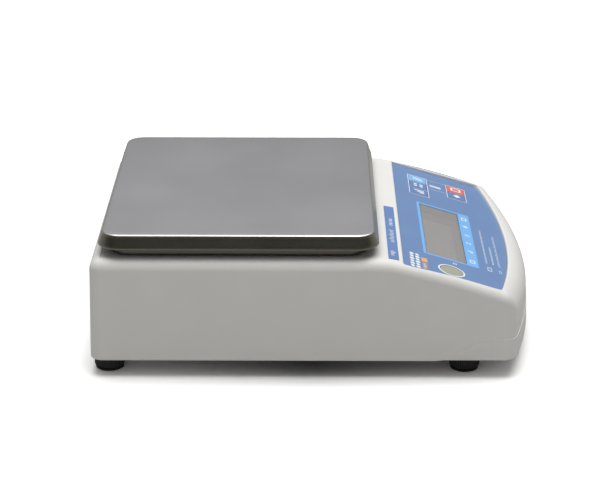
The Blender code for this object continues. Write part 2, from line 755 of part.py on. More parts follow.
def build_support():
    args = (SUPPORT_SIZE, SUPPORT_CORNER, SUPPORT_TOP, SUPPORT_BOTTOM, 0.0004, SUPPORT_SHEET)
    plate = pressed_tray("pan_support", *args)
    settle(plate, "pan_support", SUPPORT_STEEL)
    under = SUPPORT_TOP - SUPPORT_SHEET
    flange = 0.0035
    profile = [(0, 0), (0.0145, 0), (0.0145, -flange), (COLUMN_RADIUS, -flange - 0.001)]
    foot = CELL_TOP + TRAVEL_GAP - (under - GAP)
    profile += [(COLUMN_RADIUS, foot + 0.001), (COLUMN_RADIUS - 0.001, foot), (0, foot)]
    column = turned("support_column", profile, 28)
    column.location = (COLUMN_X, PAN_CENTRE.y, under - GAP)
    settle(column, "support_column", ALUMINIUM)
    for i, side in enumerate((-1, 1), 1):
        y = PAN_CENTRE.y + side * 0.0085
        hole = rod(under - 0.012, SUPPORT_TOP + 0.002, COLUMN_X, y, BOLT_RADIUS + GAP, 12)
        as_cutter(hole, f"support_hole_{i}")
        boolean(plate, hole)
        boolean(column, hole)
        screw = flat_screw(f"support_screw_{i}", 0.0036, 0.0014, BOLT_RADIUS, 0.010)
        screw.location = (COLUMN_X, y, SUPPORT_TOP + GAP)
    pad_profile = [(0, 0.0018), (0.0048, 0.0018), (0.0058, 0.0008), (0.0060, 0), (0, 0)]
    corners = [(x, y) for y in (PAD_AT[1], -PAD_AT[1]) for x in (-PAD_AT[0], PAD_AT[0])]
    for i, (x, y) in enumerate(corners, 1):
        pad = turned(f"pan_pad_{i}", pad_profile, 20)
        pad.location = (x, PAN_CENTRE.y + y, SUPPORT_TOP + GAP)
        settle(pad, f"pan_pad_{i}", RUBBER)


def flat_screw(name, head_radius, head, radius, length, material=None):
    """A screw hanging down from its head's seat at the origin, with a hexagon socket in the head."""
    profile = [(0, head), (head_radius - 0.0003, head), (head_radius, head - 0.0004), (head_radius, 0)]
    profile += [(radius, 0), (radius, -length + 0.0005), (radius - 0.0006, -length), (0, -length)]
    screw = turned(name, profile, 16)
    settle(screw, name, material or ZINC)
    socket = rod(head * 0.4, head + 0.001, 0, 0, radius * 0.75, 6)
    as_cutter(socket, f"{name}_socket", screw)
    return boolean(screw, socket)


# Load cell


def build_load_cell():
    y = PAN_CENTRE.y
    cell = block((0, y, (CELL_BOTTOM + CELL_TOP) / 2), (CELL_LENGTH, CELL_SIDE, CELL_SIDE), 0.0004, 1)
    settle(cell, "load_cell", ALUMINIUM)
    middle_z = (CELL_BOTTOM + CELL_TOP) / 2
    for i, x in enumerate((-0.0075, 0.0075), 1):
        bore = level_rod(y - 0.012, y + 0.012, x, middle_z, 0.0052)
        boolean(cell, as_cutter(bore, f"cell_bore_{i}"))
    slot = block((0, y, middle_z), (0.015, 0.024, 0.0030))
    boolean(cell, as_cutter(slot, "cell_slot"))
    left = -CELL_LENGTH / 2 + CELL_BLOCK / 2
    height = CELL_BOTTOM - GAP - (FLOOR_TOP + GAP)
    middle = FLOOR_TOP + GAP + height / 2
    mount = block((left, y, middle), (CELL_BLOCK, 0.0160, height), 0.0005, 1)
    settle(mount, "cell_mount", ZINC)
    for i, side in enumerate((-1, 1), 1):
        x = left + side * CELL_BOLT_PITCH / 2
        hole = rod(FLOOR_TOP + 0.001, CELL_TOP + 0.002, x, y, BOLT_RADIUS + GAP, 12)
        as_cutter(hole, f"cell_hole_{i}")
        boolean(cell, hole)
        boolean(mount, hole)
        length = CELL_TOP - FLOOR_TOP - 0.0015
        bolt = flat_screw(f"cell_bolt_{i}", 0.0036, 0.0030, BOLT_RADIUS, length)
        bolt.location = (x, y, CELL_TOP + GAP)
    stop_profile = [(0, 0.0056), (0.0026, 0.0056), (0.0030, 0.0050), (0.0030, 0.0018), (0.0045, 0.0018)]
    stop_profile += [(0.0045, 0), (0, 0)]
    stop = turned("overload_stop", stop_profile, 20)
    stop.location = (COLUMN_X, y, FLOOR_TOP + GAP)
    settle(stop, "overload_stop", ZINC)


# Feet, screws, battery, boards, sockets, cables


def ridged_wheel(name, low, high):
    """A thumb wheel with ridges, its lower edge rounded."""
    chamfer = FOOT_CHAMFER
    levels = [(low, -chamfer), (low + chamfer / 3, -chamfer * 0.3), (low + chamfer, 0.0), (high, 0.0)]
    rings = []
    for z, inward in levels:
        loop = []
        for i in range(2 * RIDGES):
            radius = FOOT_RADIUS + inward - RIDGE_DEPTH * (i % 2)
            turn = math.pi * i / RIDGES
            loop.append((radius * math.cos(turn), radius * math.sin(turn), z))
        rings.append(loop)
    bm = bmesh.new()
    bm.faces.new(loft(bm, rings)[-1])
    return mesh_object(name, bm)


def build_feet():
    for i, (x, y) in enumerate(foot_places(), 1):
        frame = bpy.data.objects.new(f"foot_frame_{i}", None)
        PARTS.objects.link(frame)
        frame.location = (x, y, 0)
        pad_radius = FOOT_RADIUS - FOOT_PAD_INSET
        profile = [(0, FOOT_PAD_TOP), (pad_radius, FOOT_PAD_TOP), (pad_radius, 0.0005)]
        profile += [(pad_radius - 0.0005, 0), (0, 0)]
        settle(turned(f"foot_pad_{i}", profile, 24), f"foot_pad_{i}", RUBBER, frame)
        wheel = ridged_wheel(f"foot_wheel_{i}", FOOT_PAD_TOP + GAP, FOOT_WHEEL_TOP)
        settle(wheel, f"foot_wheel_{i}", FOOT_PLASTIC, frame)
        bore = rod(FOOT_PAD_TOP + 0.003, 0.02, 0, 0, STUD_RADIUS + GAP / 2, 16)
        boolean(wheel, as_cutter(bore, f"wheel_bore_{i}", frame))
        low = FOOT_PAD_TOP + 0.003 + GAP
        stud_profile = [(0, STUD_TOP), (STUD_RADIUS - 0.0006, STUD_TOP), (STUD_RADIUS, STUD_TOP - 0.0006)]
        stud_profile += [(STUD_RADIUS, low), (0, low)]
        settle(turned(f"foot_stud_{i}", stud_profile, 16), f"foot_stud_{i}", ZINC, frame)


def build_case_screws():
    for i, (x, y) in enumerate(screw_places(), 1):
        screw = flat_screw(f"case_screw_{i}", *SCREW_HEAD, SCREW_RADIUS, 0.012)
        screw.location = (x, y, POST_TOP - 0.0028 - GAP)
        screw.rotation_euler = (math.pi, 0, 0)


def build_battery():
    case = block(BATTERY_AT, BATTERY_SIZE, 0.0012, 2)
    settle(case, "battery_pack", BATTERY_CASE)
    size = (DOOR_SIZE[0] - 2 * GAP, DOOR_SIZE[1] - 2 * GAP, 0.0020)
    door = block((0, 0, 0), size, 0.0004, 1)
    door.location = (0, BATTERY_AT.y, TRAY_BOTTOM + 0.0011)
    settle(door, "battery_door", TRAY_PLASTIC)
    for i, x in enumerate((-0.030, 0.030), 1):
        grip = block((x, -0.020, -0.0010), (0.014, 0.003, 0.0010))
        boolean(door, as_cutter(grip, f"door_grip_{i}", door))


def main_board_corners():
    half_x, half_y = MAIN_BOARD_SIZE[0] / 2 - 0.004, MAIN_BOARD_SIZE[1] / 2 - 0.004
    at = MAIN_BOARD_AT
    return [(at.x + sx * half_x, at.y + sy * half_y) for sx in (-1, 1) for sy in (-1, 1)]


def build_boards():
    board = block(MAIN_BOARD_AT, (*MAIN_BOARD_SIZE, BOARD_THICK))
    settle(board, "main_board", BOARD_GREEN)
    chip = block(MAIN_BOARD_AT + Vector((0.002, -0.004, 0.0014)), (0.012, 0.012, 0.0018))
    boolean(board, as_cutter(chip, "main_chip"), "UNION")
    low = MAIN_BOARD_AT.z + BOARD_THICK / 2 + GAP
    build_sockets(low)


def build_sockets(low):
    height = JACK_Z + 0.0055 - low
    jack = block((JACK_X, 0.0960, low + height / 2), (0.0110, 0.0180, height), 0.0003, 1)
    settle(jack, "dc_jack", PORT_PLASTIC)
    nose = level_rod(0.100, REAR_Y - 0.0006, JACK_X, JACK_Z, JACK_RADIUS)
    boolean(jack, as_cutter(nose, "jack_nose"), "UNION")
    mouth = level_rod(0.102, 0.120, JACK_X, JACK_Z, 0.0030)
    boolean(jack, as_cutter(mouth, "jack_mouth"))
    height = PORT_Z + 0.0060 - low
    port = block((PORT_X, 0.0975, low + height / 2), (0.0300, 0.0200, height), 0.0003, 1)
    settle(port, "serial_port", ZINC)
    nose_depth = REAR_Y + 0.0002 - 0.100
    nose = block((PORT_X, 0.100 + nose_depth / 2, PORT_Z), (PORT_SIZE[0], nose_depth, PORT_SIZE[1]))
    boolean(port, as_cutter(nose, "port_nose"), "UNION")
    mouth = block((PORT_X, 0.112, PORT_Z), (PORT_SIZE[0] - 0.001, 0.010, PORT_SIZE[1] - 0.001))
    boolean(port, as_cutter(mouth, "port_mouth"))
    insert = block((PORT_X, 0.1085, PORT_Z), (PORT_SIZE[0] - 0.004, 0.0060, PORT_SIZE[1] - 0.0035))
    boolean(port, as_cutter(insert, "port_insert"), "UNION")


def build_cables():
    z = MAIN_BOARD_AT.z + 0.0030
    y = PAN_CENTRE.y
    cell = [(-0.0415, y, 0.0250), (-0.0440, y, 0.0250), (-0.0465, y + 0.010, 0.0240)]
    cell += [(-0.0450, 0.055, z + 0.001), (-0.0420, 0.066, z), (-0.0380, 0.070, z)]
    wire("load_cell_cable", cell, 0.0012, CABLE_GREY)
    display = [(0.0600, -0.0600, 0.0330), (0.0600, -0.0500, 0.0300), (0.0600, -0.030, 0.0260)]
    display += [(0.0600, 0.030, 0.0240), (0.0560, 0.060, z), (0.0460, 0.068, z), (0.0400, 0.070, z)]
    wire("display_cable", display, 0.0014, CABLE_GREY)
    battery = [(0.0500, -0.010, 0.0300), (0.0530, -0.008, 0.0290), (0.0530, 0.040, 0.0260)]
    battery += [(0.0500, 0.060, z + 0.001), (0.0300, 0.066, z), (0.0260, 0.070, z)]
    wire("battery_cable", battery, 0.0010, PORT_PLASTIC)


build_top_cover()
build_bottom_shell()
build_panel()
build_display()
build_label()
build_load_cell()
build_support()
build_pan()
build_feet()
build_case_screws()
build_battery()
build_boards()
build_cables()
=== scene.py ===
"""Looks for the compact counting scale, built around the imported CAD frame.

Fine shells, pan, panel, prints, feet and sockets stand in for the CAD pieces.

Metres, +Z up. The operator stands on the -Y side, and +X is to the operator's right.
"""

import math

import bmesh
import bpy
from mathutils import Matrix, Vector
from mathutils.bvhtree import BVHTree


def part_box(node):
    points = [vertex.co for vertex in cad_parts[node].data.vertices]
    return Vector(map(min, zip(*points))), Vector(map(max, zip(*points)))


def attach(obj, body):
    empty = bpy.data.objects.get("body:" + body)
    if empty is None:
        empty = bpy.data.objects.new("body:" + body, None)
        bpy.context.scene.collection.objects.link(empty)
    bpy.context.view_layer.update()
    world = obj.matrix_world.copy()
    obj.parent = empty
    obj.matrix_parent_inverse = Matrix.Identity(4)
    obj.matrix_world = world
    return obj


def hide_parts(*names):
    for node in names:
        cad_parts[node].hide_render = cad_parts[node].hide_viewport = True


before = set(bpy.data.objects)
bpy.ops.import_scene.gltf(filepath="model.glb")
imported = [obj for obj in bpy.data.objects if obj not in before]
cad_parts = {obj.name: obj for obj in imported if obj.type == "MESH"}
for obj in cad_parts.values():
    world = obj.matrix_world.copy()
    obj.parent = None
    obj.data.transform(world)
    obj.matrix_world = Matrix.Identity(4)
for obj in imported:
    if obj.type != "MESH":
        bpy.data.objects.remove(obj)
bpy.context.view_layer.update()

# Fits and mesh fineness
GAP = 0.0003
ROUND_SIDES = 40
CORNER_STEPS = 5
SHARP = (0.0001, 0.0001)

# Housing, as in the CAD
HALF_WIDTH = 0.0865
REAR_Y = 0.1132
FRONT_Y = -0.1138
BOW_RADIUS = 0.312
REAR_CORNER = 0.0060
FRONT_CORNER = 0.0070
DRAFT = 0.020
DRAFT_Z = 0.030
COVER_BOTTOM = 0.0092
TRAY_BOTTOM = 0.0099
WALL = 0.0025
FLOOR_TOP = TRAY_BOTTOM + WALL
TRAY_TOP = 0.0275
TOP_Z = 0.0627
SIDE_EDGE = 0.0056
FRONT_EDGE = 0.0130
BOTTOM_EDGE = 0.0006
FRONT_BOTTOM_EDGE = 0.0015
BREAK_Y = -0.0315
BEND = 0.010
FIRST_SLOPE = 0.22
CROWN_RADIUS = 0.400
SEAM_START = -0.0604
SEAM_END = -0.0914
SEAM_RISE = 0.0114
SEAM_SLOPE = 0.10
SEAM_GAP = 0.0001
TRAY_PROUD = 0.0005

# Sloped panel
PANEL_ANGLE = math.radians(16.9)
PANEL_ORIGIN = Vector((0, -0.0450, 0.0594))
PANEL_HALF_REAR = 0.0818
# The overlay's front edge is wider and flatter than the CAD's, and its middle stops 1.8 mm behind it
PANEL_HALF_FRONT = 0.0811
PANEL_DEPTH = 0.0606
PANEL_ARC = 0.342
OVERLAY_THICK = 0.0005
RECESS_DEPTH = 0.0017
PANEL_WALL = 0.0022
LIP = 0.0009
WINDOW_X = (-0.0535, 0.0228)
WINDOW_V = (-0.0355, -0.0135)
KEY_CELL = (0.0107, 0.0112)
LEVEL_AT = (-0.0696, -0.0260)
LEVEL_WINDOW_R = 0.0063
LEVEL_WELL_R = 0.0064
LEVEL_WELL_LOW = 0.0370
LEVEL_BOSS = (0.0385, 0.0085)
INK = 0.00006

# Feet, sockets and screws
COLUMN_X = 0.029
HUB_HOLE_RADIUS = 0.0150
JACK_RADIUS = 0.0050
JACK_DROP = 0.0055
PORT_SIZE = (0.0170, 0.0085)
PORT_DROP = 0.0060
HOLE_Y = (0.100, 0.120)
POST_TOP = 0.0180
POST_RADIUS = 0.0045
SCREW_HOLE = 0.0018
SCREW_HEAD = (0.0028, 0.0018)
SOCKET_RADIUS = 0.0062
SOCKET_TOP = 0.0240
SOCKET_REACH = 0.1090
STUD_RADIUS = 0.0030

SCENE = bpy.context.scene


def box_centre(node):
    low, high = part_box(node)
    return (low + high) / 2


# Materials


class Nodes:
    """A short way to write a node tree."""

    def __init__(self, tree):
        self.tree = tree

    def add(self, kind, **inputs):
        node = self.tree.nodes.new(kind)
        for key, value in inputs.items():
            self.put(node, key, value)
        return node

    def put(self, node, key, value):
        name = key.replace("_", " ")
        if name in node.inputs:
            self.feed(value, node.inputs[name])
        else:
            setattr(node, key, value)

    def join(self, output, socket):
        self.tree.links.new(output, socket)

    def feed(self, value, socket):
        if isinstance(value, bpy.types.NodeSocket):
            self.join(value, socket)
        else:
            socket.default_value = value

    def noise(self, vector, scale, detail=3.0, rough=0.55):
        node = self.add("ShaderNodeTexNoise", Scale=scale, Detail=detail, Roughness=rough)
        self.join(vector, node.inputs["Vector"])
        return node.outputs["Fac"]

    def spread(self, value, low, high, from_low=0.3, from_high=0.7):
        node = self.add("ShaderNodeMapRange")
        self.join(value, node.inputs["Value"])
        ends = {"From Min": from_low, "From Max": from_high, "To Min": low, "To Max": high}
        for key, number in ends.items():
            node.inputs[key].default_value = number
        return node.outputs["Result"]

    def blend(self, factor, first, second):
        node = self.add("ShaderNodeMix")
        node.data_type = "RGBA"
        self.feed(factor, node.inputs[0])
        for colour, socket in ((first, node.inputs[6]), (second, node.inputs[7])):
            self.feed((*colour, 1.0) if isinstance(colour, tuple) else colour, socket)
        return node.outputs[2]

    def math(self, operation, first, second=0.0):
        node = self.add("ShaderNodeMath")
        node.operation = operation
        self.feed(first, node.inputs[0])
        self.feed(second, node.inputs[1])
        return node.outputs[0]

    def by_view(self, bounced, direct, output):
        """One shader for bounced light and another for what the camera sees directly."""
        seen = self.add("ShaderNodeLightPath").outputs["Is Camera Ray"]
        mix = self.add("ShaderNodeMixShader")
        for source, socket in zip((seen, bounced.outputs[0], direct.outputs[0]), mix.inputs):
            self.join(source, socket)
        self.join(mix.outputs[0], self.tree.nodes[output].inputs["Surface"])


def new_paint(name):
    """A new material with its node helper, its main shader and the object's own coordinates."""
    material = bpy.data.materials.new(name)
    material.use_nodes = True
    n = Nodes(material.node_tree)
    shader = material.node_tree.nodes["Principled BSDF"]
    return material, n, shader, n.add("ShaderNodeTexCoord").outputs["Object"]


def scaled(colour, factor):
    return tuple(min(1.0, c * factor) for c in colour)


def finish_paint(name, colour, rough=(0.3, 0.4), metallic=0.0, grain=(2600, 0.05), tone=0.05,
                 stretch=(1, 1, 1), wear=0.0, coat=0.0, cloud=45, specular=0.5, scratches=0.0,
                 upright_painted_shade=None):
    """A material of slow clouds, a fine grain and worn edges, in colour, roughness and height, with painted
    shade on upright and downward faces when asked.
    """
    material, n, shader, place = new_paint(name)
    stretched = n.add("ShaderNodeMapping")
    n.join(place, stretched.inputs["Vector"])
    stretched.inputs["Scale"].default_value = stretch
    fine = n.noise(stretched.outputs["Vector"], grain[0], 4.0)
    slow = n.noise(place, cloud, 3.0)
    tint = n.blend(n.spread(slow, 0.0, 1.0), scaled(colour, 1 - tone), scaled(colour, 1 + tone))
    tint = n.blend(n.spread(fine, 0.0, 0.35), tint, scaled(colour, 1 - 1.6 * tone))
    if wear:
        edge = n.add("ShaderNodeNewGeometry").outputs["Pointiness"]
        worn = n.math("MULTIPLY", n.spread(edge, 0.0, 1.0, 0.53, 0.62), n.spread(fine, 0.2, wear))
        tint = n.blend(worn, tint, scaled(colour, 1.35) if sum(colour) > 0.3 else (0.16, 0.16, 0.16))
    # Painted shade: faces that stand upright or face down take this darker colour in place of the base colour.
    if upright_painted_shade:
        facing = n.add("ShaderNodeSeparateXYZ")
        n.join(n.add("ShaderNodeNewGeometry").outputs["Normal"], facing.inputs[0])
        tint = n.blend(n.spread(facing.outputs["Z"], 0.0, 1.0, 0.30, 0.85), upright_painted_shade, tint)
    n.join(tint, shader.inputs["Base Color"])
    both = n.math("ADD", n.math("MULTIPLY", fine, 0.6), n.math("MULTIPLY", slow, 0.4))
    n.join(n.spread(both, rough[0], rough[1]), shader.inputs["Roughness"])
    height = fine
    if scratches:
        lines = n.add("ShaderNodeTexNoise", Scale=900.0, Detail=1.0)
        turned = n.add("ShaderNodeMapping")
        n.join(place, turned.inputs["Vector"])
        turned.inputs["Scale"].default_value = (0.03, 1.4, 1.0)
        turned.inputs["Rotation"].default_value = (0, 0, 0.3)
        n.join(turned.outputs["Vector"], lines.inputs["Vector"])
        mark = n.spread(lines.outputs["Fac"], 0.0, scratches, 0.70, 0.78)
        height = n.math("SUBTRACT", fine, mark)
    bump = n.add("ShaderNodeBump", Strength=grain[1], Distance=0.0003)
    n.join(height, bump.inputs["Height"])
    n.join(bump.outputs["Normal"], shader.inputs["Normal"])
    fixed = {"Metallic": metallic, "Coat Weight": coat, "Coat Roughness": 0.12, "Specular IOR Level": specular}
    for key, value in fixed.items():
        shader.inputs[key].default_value = value
    return material


def clear_sheet(name, tint, rough, body):
    """A thin clear window with a faint tint and a fine grain; body is how solid it looks, 0 to 1."""
    material, n, shader, place = new_paint(name)
    fine = n.noise(place, 1800, 3.0)
    n.join(n.blend(n.spread(fine, 0.0, 1.0), tint, scaled(tint, 0.94)), shader.inputs["Base Color"])
    n.join(n.spread(fine, rough[0], rough[1]), shader.inputs["Roughness"])
    shader.inputs["Alpha"].default_value = body
    material.use_transparent_shadow = True
    return material


def board_paint(name):
    """Green solder mask with lighter green copper tracks."""
    material, n, shader, place = new_paint(name)
    cells = n.add("ShaderNodeTexVoronoi", Scale=420.0)
    cells.distance = "CHEBYCHEV"
    n.join(place, cells.inputs["Vector"])
    tracks = n.spread(cells.outputs["Distance"], 1.0, 0.0, 0.36, 0.42)
    fine = n.noise(place, 2400)
    base = n.blend(n.spread(fine, 0.0, 1.0), (0.012, 0.11, 0.045), (0.02, 0.15, 0.06))
    n.join(n.blend(tracks, (0.04, 0.24, 0.08), base), shader.inputs["Base Color"])
    n.join(n.spread(fine, 0.3, 0.5), shader.inputs["Roughness"])
    bump = n.add("ShaderNodeBump", Strength=0.3, Distance=0.0002)
    n.join(tracks, bump.inputs["Height"])
    n.join(bump.outputs["Normal"], shader.inputs["Normal"])
    return material


def ink_paint(name, colour, tone):
    return finish_paint(name, colour, (0.42, 0.52), grain=(3600, 0.06), tone=tone)


CREAM = (0.80, 0.794, 0.768)
COVER_PLASTIC = finish_paint("cover_plastic", CREAM, (0.42, 0.52), grain=(2400, 0.10), tone=0.012,
                             specular=0.35)
TRAY_PLASTIC = finish_paint("tray_plastic", (0.80, 0.793, 0.770), (0.42, 0.54), grain=(2100, 0.12),
                            tone=0.014, specular=0.35)
OVERLAY_BLUE = finish_paint("overlay_blue", (0.150, 0.262, 0.492), (0.38, 0.48), grain=(3200, 0.10),
                            tone=0.03)
LABEL_BLUE = finish_paint("label_blue", (0.135, 0.235, 0.50), (0.42, 0.52), grain=(3000, 0.10), tone=0.03)
KEY_BLUE = finish_paint("key_blue", (0.135, 0.235, 0.49), (0.36, 0.46), grain=(3200, 0.10), tone=0.03)
KEY_SKY = finish_paint("key_sky", (0.22, 0.50, 0.87), (0.36, 0.46), grain=(3200, 0.10), tone=0.02)
KEY_RED = finish_paint("key_red", (0.80, 0.17, 0.14), (0.36, 0.46), grain=(3200, 0.10), tone=0.03)
SKY_INK = ink_paint("sky_ink", (0.19, 0.47, 0.88), 0.02)
WHITE_INK = ink_paint("white_ink", (0.86, 0.88, 0.90), 0.02)
PALE_INK = ink_paint("pale_ink", (0.60, 0.67, 0.80), 0.02)
ORANGE_INK = ink_paint("orange_ink", (0.84, 0.42, 0.20), 0.03)
TAG_BROWN = ink_paint("tag_brown", (0.36, 0.27, 0.25), 0.03)
WINDOW_CLEAR = clear_sheet("window_clear", (0.50, 0.49, 0.48), (0.12, 0.22), 0.42)
LEVEL_CLEAR = clear_sheet("level_clear", (0.50, 0.52, 0.41), (0.10, 0.20), 0.80)
LCD_GREY = finish_paint("lcd_grey", (0.46, 0.455, 0.435), (0.30, 0.38), grain=(5200, 0.04), tone=0.02,
                        cloud=20)
# Painted shadow for the display glass, where the window's walls shade it.
LCD_PAINTED_SHADOW = finish_paint("lcd_painted_shadow", (0.30, 0.295, 0.285), (0.35, 0.45), grain=(4200, 0.05), tone=0.03)
# Steel with painted shade: the pan's upright skirt and rolled lower lip are darker and warmer than its top.
PAN_STEEL = finish_paint("pan_steel", (0.68, 0.67, 0.69), (0.30, 0.38), 1.0, grain=(700, 0.035), tone=0.015,
                         stretch=(1, 14, 1), scratches=0.5, cloud=18, upright_painted_shade=(0.33, 0.315, 0.25))
# Steel darkened and warmed by painted shade and a painted reflection: it stands in for the shade under the pan
# and the shaded cover mirrored in the support.
SUPPORT_STEEL_PAINTED_SHADE = finish_paint("support_steel", (0.150, 0.140, 0.118), (0.30, 0.42), 1.0, grain=(1500, 0.10))
ZINC = finish_paint("zinc_steel", (0.62, 0.62, 0.60), (0.28, 0.42), 1.0, grain=(1800, 0.16), tone=0.06,
                    wear=0.5)
ALUMINIUM = finish_paint("cell_aluminium", (0.74, 0.75, 0.77), (0.28, 0.42), 1.0, grain=(900, 0.10),
                         tone=0.03, stretch=(1, 10, 10))
RUBBER = finish_paint("black_rubber", (0.020, 0.020, 0.021), (0.65, 0.85), grain=(2600, 0.35), tone=0.12)
FOOT_PLASTIC = finish_paint("foot_plastic", (0.016, 0.016, 0.017), (0.38, 0.55), grain=(2600, 0.20),
                            tone=0.12, wear=0.5)
BATTERY_CASE = finish_paint("battery_case", (0.035, 0.036, 0.040), (0.40, 0.60), grain=(1500, 0.30), tone=0.1,
                            wear=0.4)
VIAL_LIQUID = finish_paint("vial_liquid", (0.42, 0.44, 0.33), (0.10, 0.18), grain=(1200, 0.02), tone=0.03,
                           coat=0.4)
BUBBLE = finish_paint("bubble", (0.52, 0.56, 0.42), (0.06, 0.10), grain=(900, 0.02), tone=0.04, coat=0.8)
PORT_PLASTIC = finish_paint("port_plastic", (0.022, 0.022, 0.024), (0.38, 0.55), grain=(2400, 0.25), tone=0.1,
                            wear=0.4)
CABLE_GREY = finish_paint("cable_grey", (0.20, 0.20, 0.21), (0.50, 0.65), grain=(2200, 0.25), tone=0.08)
CABLE_BLACK = finish_paint("cable_black", (0.03, 0.03, 0.03), (0.50, 0.65), grain=(2200, 0.25), tone=0.08)
CIRCUIT_FILM = finish_paint("circuit_film", (0.62, 0.63, 0.60), (0.35, 0.50), grain=(1400, 0.10), tone=0.05)
BACKLIGHT = finish_paint("backlight", (0.74, 0.75, 0.72), (0.35, 0.50), grain=(1800, 0.10), tone=0.03)
GOLD = finish_paint("contact_gold", (0.75, 0.56, 0.22), (0.22, 0.35), 1.0, grain=(1500, 0.08), tone=0.05)
BOARD_GREEN = board_paint("board_green")

SLOT_PAINTS = {
    "load_cell": ALUMINIUM, "support_column": ALUMINIUM, "cell_mount": ZINC, "overload_stop": ZINC,
    "cell_bolt_1": ZINC, "cell_bolt_2": ZINC, "support_screw_1": ZINC, "support_screw_2": ZINC,
    "battery_pack": BATTERY_CASE, "main_board": BOARD_GREEN, "display_board": BOARD_GREEN,
    "membrane_circuit": CIRCUIT_FILM, "display_backlight": BACKLIGHT, "load_cell_cable": CABLE_GREY,
    "display_cable": CABLE_GREY, "battery_cable": CABLE_BLACK, "serial_port": ZINC, "dc_jack": PORT_PLASTIC,
}
for number in range(1, 5):
    SLOT_PAINTS[f"case_screw_{number}"] = ZINC
    SLOT_PAINTS[f"pan_pad_{number}"] = RUBBER
    SLOT_PAINTS[f"foot_stud_{number}"] = ZINC
    SLOT_PAINTS[f"foot_pad_{number}"] = RUBBER


def repaint_kept_nodes():
    for node, paint in SLOT_PAINTS.items():
        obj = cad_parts[node]
        obj.data.materials.clear()
        obj.data.materials.append(paint)
        obj.data.shade_smooth()
        obj.data.set_sharp_from_angle(angle=math.radians(32))


# Mesh tools


def mesh_object(name, bm):
    bmesh.ops.recalc_face_normals(bm, faces=bm.faces)
    mesh = bpy.data.meshes.new(name)
    bm.to_mesh(mesh)
    bm.free()
    obj = bpy.data.objects.new(name, mesh)
    SCENE.collection.objects.link(obj)
    return obj


def loft(bm, rings):
    """Joins rings of equal count and closes both ends."""
    levels = [[bm.verts.new(point) for point in ring] for ring in rings]
    count = len(levels[0])
    for low, high in zip(levels, levels[1:]):
        for i in range(count):
            j = (i + 1) % count
            bm.faces.new((low[i], low[j], high[j], high[i]))
    bm.faces.new(reversed(levels[0]))
    bm.faces.new(levels[-1])
    return levels


def lofted(name, rings):
    bm = bmesh.new()
    loft(bm, rings)
    return mesh_object(name, bm)


def cut(obj, cutters, operation="DIFFERENCE"):
    """Applies one Boolean for each cutter, then removes the cutters."""
    for cutter in cutters:
        modifier = obj.modifiers.new(cutter.name, "BOOLEAN")
        modifier.operation = operation
        modifier.solver = "EXACT"
        modifier.object = cutter
    apply_modifiers(obj)
    for cutter in cutters:
        bpy.data.objects.remove(cutter, do_unlink=True)
    return obj


def apply_modifiers(obj):
    bpy.context.view_layer.update()
    graph = bpy.context.evaluated_depsgraph_get()
    mesh = bpy.data.meshes.new_from_object(obj.evaluated_get(graph))
    obj.modifiers.clear()
    obj.data = mesh
    mesh.name = obj.name
    return obj


def soften(obj, angle=35, weighted=True):
    """Smooth shading with real edges kept, and flat faces winning over small ones."""
    obj.data.shade_smooth()
    obj.data.set_sharp_from_angle(angle=math.radians(angle))
    if weighted:
        modifier = obj.modifiers.new("weighted", "WEIGHTED_NORMAL")
        modifier.keep_sharp = True
    return obj


def place(obj, body, paint, *nodes, slot=None):
    """Gives a piece its material and its body, and lets it stand for CAD nodes."""
    obj.data.materials.clear()
    obj.data.materials.append(paint)
    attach(obj, body)
    if nodes:
        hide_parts(*nodes)
    return obj


def arc_points(centre, radius, start, end, steps):
    angles = [math.radians(start + (end - start) * i / steps) for i in range(steps + 1)]
    return [(centre[0] + radius * math.cos(a), centre[1] + radius * math.sin(a)) for a in angles]


def rounded_rectangle(size, radius, steps=6, centre=(0.0, 0.0)):
    half_x, half_y = size[0] / 2 - radius, size[1] / 2 - radius
    corners = ((half_x, half_y, 0), (-half_x, half_y, 90), (-half_x, -half_y, 180), (half_x, -half_y, 270))
    points = []
    for x, y, start in corners:
        points += arc_points((centre[0] + x, centre[1] + y), radius, start, start + 90, steps)
    return points


def circle(radius, count, centre=(0.0, 0.0)):
    turns = [2 * math.pi * i / count for i in range(count)]
    return [(centre[0] + radius * math.cos(t), centre[1] + radius * math.sin(t)) for t in turns]


def turned(name, profile, count=48, centre=(0.0, 0.0, 0.0)):
    """A turned piece from (radius, height) points going up the outside; its ends are closed flat."""
    rings = []
    for radius, height in profile:
        loop = circle(max(radius, 0.00005), count, centre[:2])
        rings.append([(x, y, centre[2] + height) for x, y in loop])
    return lofted(name, rings)


def block(name, low, high):
    """A plain cutter block between two corners."""
    rings = []
    for z in (low[2], high[2]):
        rings.append([(low[0], low[1], z), (high[0], low[1], z), (high[0], high[1], z), (low[0], high[1], z)])
    return lofted(name, rings)


def upright(name, low, high, x, y, radius):
    return turned(name, [(radius, low), (radius, high)], ROUND_SIDES, (x, y, 0.0))


def lying(name, y_low, y_high, x, z, radius):
    rings = []
    for y in (y_low, y_high):
        rings.append([(x + px, y, z + pz) for px, pz in circle(radius, ROUND_SIDES)])
    return lofted(name, rings)


# Housing


def roof_height(y):
    ahead = max(0.0, BREAK_Y - y)
    if ahead < BEND:
        return TOP_Z - FIRST_SLOPE * ahead**2 / (2 * BEND)
    beyond = ahead - BEND
    return TOP_Z - FIRST_SLOPE * (BEND / 2 + beyond) - beyond**2 / (2 * CROWN_RADIUS)


def panel_height(y):
    return PANEL_ORIGIN.z + (y - PANEL_ORIGIN.y) * math.tan(PANEL_ANGLE)


def ceiling_height(y):
    under_panel = panel_height(y) - (RECESS_DEPTH + PANEL_WALL) / math.cos(PANEL_ANGLE)
    ramp = min(1.0, max(0.0, (PANEL_ORIGIN.y + 0.0075 - y) / 0.004))
    return (1 - ramp) * (roof_height(y) - WALL) + ramp * under_panel


